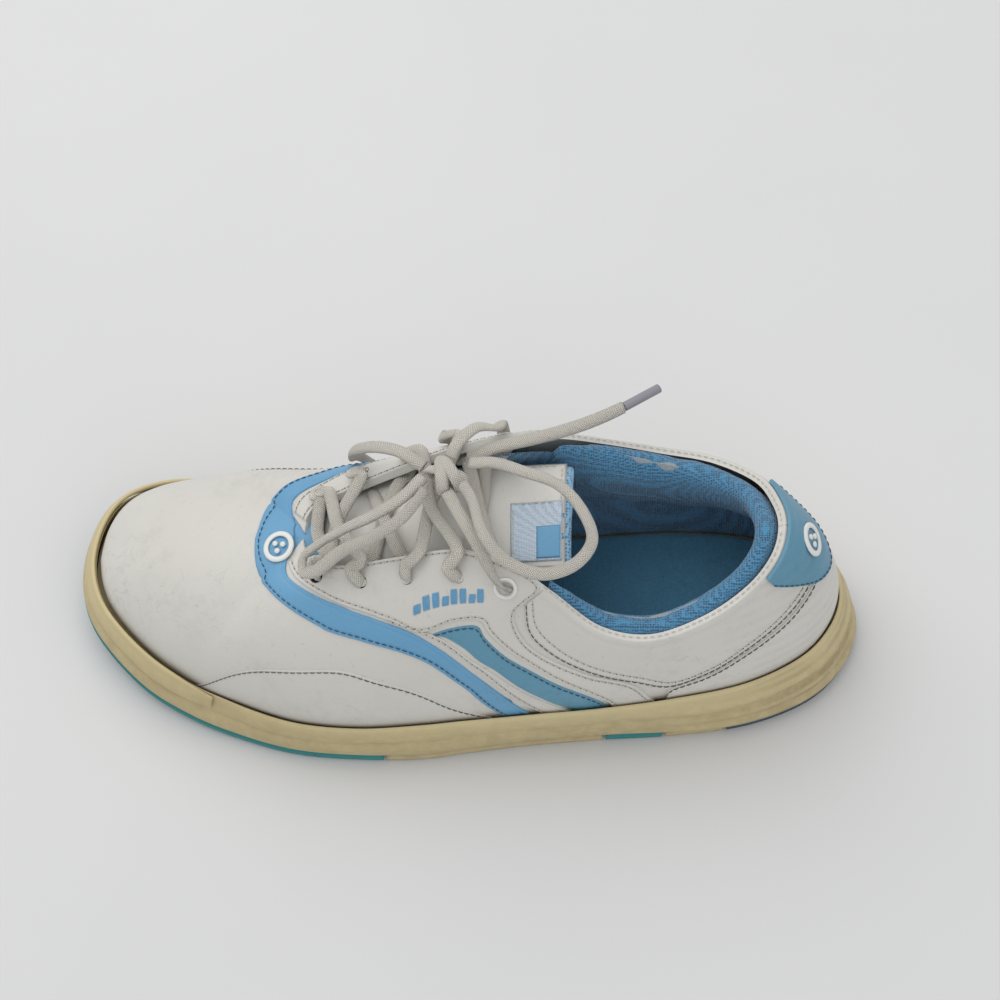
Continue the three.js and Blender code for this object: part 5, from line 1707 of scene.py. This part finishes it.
@dataclass
class Tongue:
    """Padded tongue with its leather face, knit edge and label."""

    root_run: float = 85.0

    LATERAL = [[-45, -4, 58], [-35, -9, 60.5], [-18, -9.5, 65], [2, -10.5, 70.5], [20, -13, 70.5],
               [40, -13, 73]]
    MEDIAL = [[-45, 12, 60], [-36, 18, 64.5], [-19, 20.5, 71], [1, 22, 75.5], [19, 25, 75.5], [40, 25, 77]]
    SPREAD = [[1.55], [1.42], [1.3], [1.15], [1.0], [1.0]]
    CROWN = [[1.5], [3], [4], [3.4], [3.6], [5]]

    def point(self, s: Array, q: Array, down: Array) -> Array:
        """Point at s from root to end, q across from -1 to 1 and down below the face.

        Args:
            s: From 0 at the root to 1 at the end.
            q: From -1 to 1 across.
            down: Depth below the face.

        Returns:
            The points.
        """
        k = np.maximum(np.asarray(s, float), 0.0) * (len(self.LATERAL) - 1)
        a, b = catmull(self.LATERAL, k), catmull(self.MEDIAL, k)
        wide = catmull(self.SPREAD, k)[..., 0] * q
        f = ((wide + 1) / 2)[..., None]
        p = a + (b - a) * f
        root = np.minimum(np.asarray(s, float), 0.0) * self.root_run
        p = p + np.stack([root, 0 * root, 0.12 * root], -1)
        lift = catmull(self.CROWN, k)[..., 0] * (1 - wide * wide) - down
        p[..., 2] += lift
        return p

    def _slab(self, name: str, span: tuple[float, float], half: tuple[float, float], top: float,
              bottom: float, rows: int = 60, columns: int = 40, soft: float = 0.0) -> Thing:
        """Closed slab between two depths, with rounded edges.

        Args:
            name: Name of the piece.
            span: Where it starts and ends along.
            half: Edges across.
            top: Upper depth.
            bottom: Lower depth.
            rows: Number of rows.
            columns: Number of columns.
            soft: Share of the thickness kept at the edge.

        Returns:
            The piece.
        """
        s = np.linspace(*span, rows)[:, None] + np.zeros((1, columns))
        q = np.linspace(*half, columns)[None, :] + np.zeros((rows, 1))
        edge = np.minimum(np.linspace(0, 1, columns)[None, :], np.linspace(1, 0, columns)[None, :])
        end = np.minimum(np.linspace(0, 1, rows)[:, None], np.linspace(1, 0, rows)[:, None])
        near = np.minimum(smooth(0, 0.06, edge) + 0 * end, smooth(0, 0.03, end) + 0 * edge)
        middle = (top + bottom) / 2
        near = soft + (1 - soft) * near
        upper = self.point(s, q, middle + (top - middle) * near)
        lower = self.point(s, q, middle + (bottom - middle) * near)
        points = np.concatenate([upper.reshape(-1, 3), lower.reshape(-1, 3)])
        faces = grid_faces(rows, columns)
        shift = rows * columns
        faces = faces + [tuple(i + shift for i in reversed(f)) for f in faces]
        obj = mesh_object(name, to_frame(points), faces)
        face_outward(obj)
        return obj

    def build(self) -> None:
        """Makes the tongue's pieces, which ride together."""
        pad = self._slab("tongue_padding", (0.0, 1.0), (-1, 1), 0.4, 5.4, 70, 50, 0.5)
        dress(pad, PALE_MESH, TONGUE, ("tongue_lining",))
        Pad(pad, 0.0016, 0.0006).inflate()
        face = self._slab("tongue_leather", (-0.15, 0.965), (-0.95, 0.95), -0.5, 0.6, 80)
        dress(face, LEATHER, TONGUE, ("tongue_outer",))
        patch = self._slab("throat_patch", (-0.17, 0.02), (-0.75, 0.75), -3.4, -2.0, 20, 30)
        dress(patch, TRIM, SHOE)
        label = self._slab("tongue_label_cloth", (0.79, 0.955), (-0.86, 0.14), -0.95, -0.4, 30, 30)
        dress(label, LABEL, TONGUE, ("tongue_label",))
        bar = self._slab("tongue_label_bar", (0.875, 0.95), (-0.82, -0.3), -1.15, -0.8, 20, 20)
        dress(bar, TRIM, TONGUE)
        self._stitching()

    def _stitching(self) -> None:
        """Stitches round the leather face and the label."""
        threads = Stitches("tongue_stitches", STITCH, TONGUE)
        up = np.array([[0.0, 0.0, 1.0]])
        f = np.linspace(0, 1, 160)
        lines = [(f * 0.94, 0.88 + 0 * f, -0.5), (0.95 + 0 * f, 0.16 + 0.72 * f, -0.5),
                 (0.8 + 0 * f, -0.84 + 0.96 * f, -1.0), (0.8 + 0.145 * f, 0.11 + 0 * f, -1.0)]
        for s, q, down in lines:
            threads.run(self.point(s, q, down + 0 * f), np.repeat(up, len(f), 0), 1.5, 2.2, 0.18)
        threads.build()


# ---------------------------------------------------------------- badges and eyelets
@dataclass
class Badge:
    """Generic raised ring with three dots inside."""

    name: str
    row: float
    height: float
    radius: float
    lift: float
    slot: str
    node: str

    def _disc(self, centre: tuple[float, float], inner: float, outer: float) -> list:
        """Rings of a domed disc or ring as (a, b, up) in the badge's own plane.

        Args:
            centre: Middle of the disc.
            inner: Inner radius.
            outer: Outer radius.

        Returns:
            The rings.
        """
        a = np.linspace(0, 2 * math.pi, 48, endpoint=False)
        levels = [(outer, 0.0), (outer, 0.35), (outer * 0.94 + inner * 0.06, 0.55)]
        hollow = [(inner + (outer - inner) * 0.08, 0.55), (inner, 0.35), (inner, 0.0)]
        levels += hollow if inner else [(0.01, 0.6)]
        return [np.stack([centre[0] + r * np.cos(a), centre[1] + r * np.sin(a), up + 0 * a], 1)
                for r, up in levels]

    def build(self) -> None:
        """Makes the badge bent over the panel it sits on."""
        corner = (np.array([False]), np.array([self.row]), np.array([self.height]))
        origin = LAST.place(corner)[0]
        normal = LAST.place(corner, 1.0)[0] - origin
        east = unit(np.cross([0, 0, 1.0], normal))
        north = np.cross(normal, east)
        points, faces = [], []
        r = self.radius
        dots = [(0.3 * r * math.cos(k), 0.3 * r * math.sin(k)) for k in (math.pi / 2, 3.67, 5.76)]
        for centre, inner, outer in [((0, 0), 0.68 * r, r)] + [(d, 0.0, 0.17 * r) for d in dots]:
            rings = self._disc(centre, inner, outer)
            base = len(points)
            for ring in rings:
                for a, b, up in ring:
                    sag = (a * a + b * b) / (2 * 42)
                    points.append(origin + east * a + north * b + normal * (self.lift + up - sag))
            faces += [tuple(base + i for i in f) for f in grid_faces(len(rings), 48, False, True)]
        obj = mesh_object(self.name, to_frame(points), faces)
        face_outward(obj)
        dress(obj, WHITE, SHOE, (self.node,))


class Eyelets:
    """Lace holes drawn as dark discs of painted shade, with a plastic ring in the top one of each side."""

    def frame(self, side: Side, k: int) -> tuple[Array, Array]:
        """Centre and normal of one eyelet.

        Args:
            side: Side of the shoe.
            k: Number of the eyelet, from the front.

        Returns:
            The centre and the normal.
        """
        t, v = EYELETS[k]
        corner = (np.array([side is Side.MEDIAL]), np.array([t]), np.array([v]))
        centre = LAST.place(corner)[0]
        return centre, LAST.place(corner, 1.0)[0] - centre

    def _lathe(self, centre: Array, normal: Array, profile: Sequence[Sequence[float]]) -> tuple[list, list]:
        """Points and faces of a profile turned about the eyelet's axis.

        Args:
            centre: Middle.
            normal: Axis.
            profile: Radius and height of each corner.

        Returns:
            Points and faces.
        """
        east = unit(np.cross(normal, [0.3, 0.2, 1.0]))
        north = np.cross(normal, east)
        a = np.linspace(0, 2 * math.pi, 40, endpoint=False)
        points = [centre + (east * math.cos(x) + north * math.sin(x)) * r + normal * h
                  for r, h in profile for x in a]
        return points, grid_faces(len(profile), 40, False, True)

    def build(self) -> None:
        """Makes the dark discs of painted shade for the holes, and the rings."""
        for side in Side:
            name = side.name.lower()
            points, faces = [], []
            for k in range(4):
                centre, normal = self.frame(side, k)
                # Each lace opening is a flat near-black disc laid over the leather: painted shade standing in
                # for the opening.
                p, f = self._lathe(centre, normal, [(2.2, 0.1), (1.95, 0.3), (1.7, 0.24), (0.01, 0.18)])
                faces += [tuple(i + len(points) for i in q) for q in f]
                points += p
            hole_shade = mesh_object(f"lace_holes_{name}", to_frame(points), faces)
            face_outward(hole_shade)
            dress(hole_shade, HOLE_SHADE)
            profile = rounded([[2.3, -2.2], [3.0, -2.2], [3.0, 0.4], [3.7, 0.4], [3.85, 0.75], [3.5, 1.3],
                               [2.8, 1.3], [2.35, 0.9]], 2)
            centre, normal = self.frame(side, 4)
            p, f = self._lathe(centre, normal, [*profile, profile[0]])
            ring = mesh_object(f"eyelet_ring_plastic_{name}", to_frame(p), f)
            face_outward(ring)
            dress(ring, WHITE, SHOE, (f"eyelet_ring_{name}",))


class Motif:
    """Embroidered row of slanted bars, one on each side."""

    def build(self) -> None:
        """Makes the satin stitches."""
        for side in Side:
            name = side.name.lower()
            threads = Stitches(f"embroidery_{name}", SKY_THREAD)
            surface = strip(side, [[8.5, 0.785], [7.9, 0.83], [7.3, 0.87]], [[8.35, 0.7], [7.75, 0.75],
                                                                              [7.15, 0.8]])
            for k in range(8):
                for j in range(6):
                    s = (k + 0.12 * j + 0.1) / 8.2
                    low, high = (0.95, 0.08) if k % 3 else (0.95, 0.4)
                    ends = LAST.place(surface(np.array([s, s + 0.03]), np.array([low, high])), 0.35)
                    normal = LAST.place(surface(np.array([s]), np.array([0.5])), 1.0)[0]
                    normal = normal - LAST.place(surface(np.array([s]), np.array([0.5])))[0]
                    threads.one(ends[0], ends[1], unit(normal), 0.26)
            obj = mesh_object(threads.name, to_frame(threads.points), threads.faces)
            dress(obj, SKY_THREAD, SHOE, (f"side_motif_{name}",))


# ---------------------------------------------------------------- laces
@dataclass
class LaceCord:
    """Flat-oval plaited cord along a route."""

    name: str
    route: Sequence[Sequence[float]]
    width: float = 4.2
    thick: float = 2.5
    twist: float = 0.0
    around: int = 20
    closed: bool = False

    def path(self) -> Array:
        """Smooth points along the route, about half a millimetre apart.

        Returns:
            The points.
        """
        p = np.asarray(self.route, float)
        if self.closed:
            p = np.vstack([p, p[:1]])
        knots = np.concatenate([[0], np.cumsum(np.sqrt(np.linalg.norm(np.diff(p, axis=0), axis=1)))])
        dense = []
        ghost = np.vstack([p[-2] if self.closed else 2 * p[0] - p[1], p,
                           p[1] if self.closed else 2 * p[-1] - p[-2]])
        gaps = np.concatenate([[knots[1]], np.diff(knots), [knots[-1] - knots[-2]]])
        times = np.concatenate([[-gaps[0]], knots, [knots[-1] + gaps[-1]]])
        for i in range(1, len(ghost) - 2):
            dense.append(self._segment(ghost, times, i))
        return np.vstack([*dense, p[-1:]])

    @staticmethod
    def _segment(p: Array, t: Array, i: int) -> Array:
        """Centripetal Catmull-Rom points between p[i] and p[i + 1].

        Args:
            p: Control points.
            t: Parameter of each control point.
            i: Number of the segment.

        Returns:
            The points.
        """
        count = max(3, int(np.linalg.norm(p[i + 1] - p[i]) / 0.7))
        x = np.linspace(t[i], t[i + 1], count, endpoint=False)[:, None]

        def mix(a: Array, b: Array, ta: float, tb: float) -> Array:
            """Linear mix of a and b at x."""
            return (tb - x) / (tb - ta) * a + (x - ta) / (tb - ta) * b

        a1, a2 = mix(p[i - 1], p[i], t[i - 1], t[i]), mix(p[i], p[i + 1], t[i], t[i + 1])
        a3 = mix(p[i + 1], p[i + 2], t[i + 1], t[i + 2])
        b1, b2 = mix(a1, a2, t[i - 1], t[i + 1]), mix(a2, a3, t[i], t[i + 2])
        return mix(b1, b2, t[i], t[i + 1])

    def mesh(self) -> tuple[Array, list, Array]:
        """Points, faces and UVs of the tube.

        Returns:
            Points, faces and UVs.
        """
        line = self.path()
        tangent = unit(np.gradient(line, axis=0))
        flat = unit(np.cross([0.0, 0.0, 1.0], tangent[0]) + 1e-6)
        total = lengths_along(line)
        a = np.linspace(0, 2 * math.pi, self.around, endpoint=False)
        points, uvs = [], []
        for k, (p, d) in enumerate(zip(line, tangent)):
            wanted = unit(np.cross([0.0, 0.0, 1.0], d) + 1e-6)
            flat = unit(flat - d * np.dot(flat, d))
            flat = unit(flat + 0.12 * wanted * (1 if np.dot(wanted, flat) > 0 else -1))
            flat = unit(flat - d * np.dot(flat, d))
            up = np.cross(d, flat)
            roll = self.twist * total[k] / total[-1]
            east = flat * math.cos(roll) + up * math.sin(roll)
            north = up * math.cos(roll) - flat * math.sin(roll)
            across, through = np.cos(a) * self.width / 2, np.sin(a) * self.thick / 2
            points.append(p + np.outer(across, east) + np.outer(through, north))
            uvs.append(np.stack([np.full_like(a, total[k]), a / (2 * math.pi) * 11.0], 1))
        count = len(line)
        faces = grid_faces(count, self.around, False, True)
        faces += [tuple(range(self.around)), tuple((count - 1) * self.around + i
                                                   for i in range(self.around - 1, -1, -1))]
        return np.vstack(points), faces, np.vstack(uvs)

    def build(self, finish: Finish = LACE) -> Thing:
        """Makes the cord as an object.

        Args:
            finish: Its finish.

        Returns:
            The cord.
        """
        points, faces, uvs = self.mesh()
        obj = mesh_object(self.name, to_frame(points), faces, uvs)
        obj.data.materials.append(finish.material())
        return obj


class Laces:
    """The laced part, the bow and its loose ends."""

    KNOT = np.array([-1.0, 10.0, 92.5])
    LOOP_FRONT = [[-8.6, 8.4, 94], [-15, 0, 95], [-24, -4, 91], [-32, -5.5, 86.5], [-42, -7.5, 79],
                  [-47.5, -10.5, 75], [-47, -15, 74], [-43, -15.8, 76], [-34, -13, 84],
                  [-24, -11.5, 90.5], [-14, -7, 95.5], [-7.4, 2.6, 96]]
    LOOP_REAR = [[6.4, 12.6, 96], [14, 12, 97.5], [24, 9, 97], [35, 5, 95.5], [42.5, -3, 93],
                 [45.5, -11, 89.5], [41, -18, 87.5], [31, -22, 87], [20, -20, 90], [12, -13, 95],
                 [7.6, -1, 97.5], [4.6, 4.2, 97.2]]
    END_REAR = [[5.4, 17, 91.5], [13, 20, 93], [26, 25.5, 90], [38, 32, 86], [47, 38.2, 82.5], [54, 43, 81]]
    AGLET_REAR = [[54.4, 43.3, 80.9], [60, 47.5, 80], [65.5, 52, 78.5]]

    def __init__(self, eyelets: Eyelets) -> None:
        """Remembers where the eyelets are."""
        self.eyelets = eyelets

    @staticmethod
    def _on_upper(t: float, v: float, out: float) -> list:
        """Point over the medial side."""
        return LAST.place((np.array([True]), np.array([t]), np.array([v])), out)[0].tolist()

    def _bend(self, side: Side, k: int, target: Array, outside: bool, raised: float = 0.0) -> list:
        """Lace points where it comes through an eyelet and turns towards a target.

        Args:
            side: Side of the shoe.
            k: Share of the way up.
            target: Point to turn towards.
            outside: True if the lace leaves on the outside.
            raised: Extra height.

        Returns:
            The points.
        """
        centre, normal = self.eyelets.frame(side, k)
        d = np.asarray(target) - centre
        d = unit(d - normal * np.dot(d, normal))
        steps = ([(-4, 0), (0.8 + raised, 0.2), (2.6 + raised, 2.4), (2.9 + raised, 4.5)] if outside
                 else [(-3, 0), (-3.9, 0.2), (-5.7, 2.4), (-5.9, 6)])
        return [centre + normal * n + d * along for n, along in steps]

    def _crossing(self, start: tuple[Side, int], end: tuple[Side, int], outside: bool, lift: float) -> list:
        """Route of one crossing between two eyelets.

        Args:
            start: Side and number of the first eyelet.
            end: Side and number of the other.
            outside: True if the lace leaves on the outside.
            lift: Height added to the middle.

        Returns:
            The points.
        """
        a, b = self.eyelets.frame(*start)[0], self.eyelets.frame(*end)[0]
        middle = (a + b) / 2 + np.array([0, 0, lift])

        def rim(where: tuple[Side, int], shift: float) -> list:
            """Point where the lace passes over the edge of the throat.

            Args:
                where: Side and number of the eyelet.
                shift: Rows to move by.

            Returns:
                The point, or nothing on the inside.
            """
            corner = (np.array([where[0] is Side.MEDIAL]), np.array([EYELETS[where[1]][0] + shift]),
                      np.array([1.0]))
            return [LAST.place(corner, 3.0)[0]] if outside else []

        return [*self._bend(*start, b, outside), *rim(start, -0.12), middle, *rim(end, 0.12),
                *self._bend(*end, a, outside)[::-1]]

    def build(self) -> None:
        self._crossings()
        self._knot()
        self._loose()

    def _crossings(self) -> None:
        """The laced part, which the shoe holds all the way."""
        lat, med = Side.LATERAL, Side.MEDIAL
        routes = [self._crossing((lat, 0), (med, 0), True, 1.5)]
        for k in range(4):
            outside = k % 2 == 0
            lift = 3.5 if outside else 0.4
            routes.append(self._crossing((lat, k), (med, k + 1), outside, lift))
            routes.append(self._crossing((med, k), (lat, k + 1), outside, lift + 3.4))
        for side, way in ((lat, [[7, -9, 91], [2, -1, 93], [-0.5, 3.7, 93]]),
                          (med, [[14, 27, 94], [8, 25, 97.5], [2, 19, 97], [0, 15.6, 94.5]])):
            routes.append([*self._bend(side, 4, way[0], True, 1.8)[:3], *way])
        self._bundle("lace_crossings_cord", [LaceCord("crossing", r, 4.3, 2.1) for r in routes],
                     "lace_crossings")

    @staticmethod
    def _bundle(name: str, cords: Sequence[LaceCord], node: str) -> None:
        """Makes several cords as one piece.

        Args:
            name: Name of the piece.
            cords: The cords.
            node: Name of the CAD node.
        """
        points, faces, uvs = [], [], []
        for cord in cords:
            p, f, uv = cord.mesh()
            base = sum(len(x) for x in points)
            points.append(p)
            uvs.append(uv)
            faces += [tuple(i + base for i in q) for q in f]
        obj = mesh_object(name, to_frame(np.vstack(points)), faces, np.vstack(uvs))
        dress(obj, LACE, SHOE, (node,))

    def _knot(self) -> None:
        """Tied centre of the bow: wraps of lace round the loops."""
        a = np.linspace(0, 2 * math.pi, 14, endpoint=False)
        cords = []
        wraps = [((1.0, 0.1, 0.0), 5.2, 4.2, -1.6), ((0.85, 0.55, 0.1), 5.6, 4.4, 1.5),
                 ((0.3, 1.0, 0.2), 5.8, 3.2, 0.3)]
        for axis, wide, high, shift in wraps:
            axis = unit(np.array(axis))
            east = unit(np.cross([0, 0, 1.0], axis))
            north = np.cross(axis, east)
            route = (self.KNOT + axis * shift + np.outer(np.cos(a) * wide, east)
                     + np.outer(np.sin(a) * high, north))
            cords.append(LaceCord("wrap", route, 4.2, 2.4, closed=True))
        self._bundle("lace_knot_wraps", cords, "lace_knot")

    def _declare(self, cord: LaceCord, node: str) -> None:
        """Dresses one free cord.

        Args:
            cord: The cord.
            node: Name of the CAD node.
        """
        obj = cord.build()
        dress(obj, LACE, SHOE, (node,))
        path = to_frame(cord.path())

    def _loose(self) -> None:
        """Bow loops and the two ends with their tips."""
        side_end = [[-8.6, 13.6, 92], [-16, 18, 93.5], [-24, 22, 90], self._on_upper(9.4, 0.9, 8.5),
                    self._on_upper(9.4, 0.74, 3), self._on_upper(9.25, 0.56, 3), self._on_upper(9.0, 0.42, 3)]
        side_tip = [self._on_upper(8.99, 0.412, 3), self._on_upper(8.75, 0.3, 3.4),
                    self._on_upper(8.6, 0.22, 5)]
        tips = []
        for name, route, node in (("lace_tip_rear", self.AGLET_REAR, "aglet_rear"),
                                  ("lace_tip_side", side_tip, "aglet_side")):
            tip = LaceCord(name, route, 3.2, 2.9).build(AGLET)
            tips.append(dress(tip, AGLET, SHOE, (node,)))
        for part, route, twist, far, own_tips in (
                ("loop_front", self.LOOP_FRONT, 1.2, "knot", ()),
                ("loop_rear", self.LOOP_REAR, -1.0, "knot", ()),
                ("end_rear", self.END_REAR, 0.8, "fitting", tips[:1]),
                ("end_side", side_end, -0.6, "fitting", tips[1:])):
            self._declare(LaceCord(f"bow_{part}", route, twist=twist), f"lace_{part}")


# ---------------------------------------------------------------- studio
@dataclass(frozen=True)
class Studio:
    """Floor, lights and camera."""

    azimuth: float = 8.0
    elevation: float = 60.0
    roll: float = -6.5
    distance: float = 900.0
    aim: tuple[float, float] = (11.0, 47.0)
    lens: float = 93.6

    def _axes(self) -> Array:
        """Rows right, up and back of the camera.

        Returns:
            The three axes.
        """
        a, e, r = (math.radians(x) for x in (self.azimuth, self.elevation, self.roll))
        back = np.array([math.sin(a) * math.cos(e), -math.cos(a) * math.cos(e), math.sin(e)])
        right = np.array([math.cos(a), math.sin(a), 0.0])
        up = np.cross(back, right)
        c, s = math.cos(r), math.sin(r)
        return np.array([c * right + s * up, -s * right + c * up, back])

    def camera(self) -> None:
        """Places the scene's camera."""
        axes = self._axes()
        spot = axes.T @ np.array([*self.aim, self.distance])
        data = bpy.data.cameras.new("camera")
        data.lens, data.sensor_width = self.lens, 36.0
        data.clip_start, data.clip_end = 0.05, 20
        camera = bpy.data.objects.new("camera", data)
        bpy.context.scene.collection.objects.link(camera)
        matrix = Matrix([[*axes.T[i], to_frame(spot)[i]] for i in range(3)] + [[0, 0, 0, 1]])
        camera.matrix_world = matrix
        bpy.context.scene.camera = camera

    def _light(self, name: str, spot: tuple, energy: float, size: float, tint: tuple) -> None:
        """Adds one soft area light aimed at the shoe.

        Args:
            name: Name of the piece.
            spot: Place in metres.
            energy: Power in watts.
            size: Width in metres.
            tint: Colour of the light.
        """
        data = bpy.data.lights.new(name, "AREA")
        data.energy, data.size, data.color = energy, size, tint
        lamp = bpy.data.objects.new(name, data)
        bpy.context.scene.collection.objects.link(lamp)
        back = unit(np.array(spot) - np.array([0, 0, 0.03]))
        right = unit(np.cross([0, 0.01, 1.0], back))
        axes = np.array([right, np.cross(back, right), back])
        lamp.matrix_world = Matrix([[*axes.T[i], spot[i]] for i in range(3)] + [[0, 0, 0, 1]])

    def build(self) -> None:
        """Makes the floor, the lights and the world."""
        self._light("key", (-0.35, 0.45, 1.1), 8.2, 1.4, (1.0, 0.99, 0.98))
        self._light("fill", (0.6, -0.9, 0.9), 2.6, 1.4, (0.97, 0.98, 1.0))
        world = bpy.data.worlds.new("studio")
        world.use_nodes = True
        graph = Graph(world.node_tree)
        sky = graph.add("Background", Color=(0.98, 0.99, 1.0, 1.0), Strength=0.62)
        graph.tree.links.new(sky.outputs[0], graph.add("OutputWorld").inputs[0])
        bpy.context.scene.world = world
        corners = [[-4, -4, 0], [4, -4, 0], [4, 4, 0], [-4, 4, 0]]
        floor = mesh_object("studio_floor_plane", np.array(corners, float), [(0, 1, 2, 3)])
        floor.data.materials.append(FLOOR.material())
        bpy.context.scene.view_settings.view_transform = "Standard"


def main() -> None:
    """Builds the shoe's looks piece by piece."""
    logging.basicConfig(level=logging.INFO)
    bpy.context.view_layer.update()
    studio = Studio()
    studio.camera()
    eyelets = Eyelets()
    steps = (("laces", Laces(eyelets).build), ("upper", Upper().build), ("sole", Sole().build),
             ("collar", Collar().build), ("tongue", Tongue().build), ("eyelets", eyelets.build),
             ("embroidery", Motif().build),
             ("front badge", Badge("front_badge", 12.18, 0.925, 5.4, 0.55, "white", "front_emblem").build),
             ("heel badge", Badge("heel_badge", 0.0, 0.78, 5.6, 2.0, "white", "heel_emblem").build),
             ("studio", studio.build))
    for name, step in steps:
        step()
        LOG.info("built %s", name)
    bpy.context.view_layer.update()


if __name__ == "__main__":
    main()
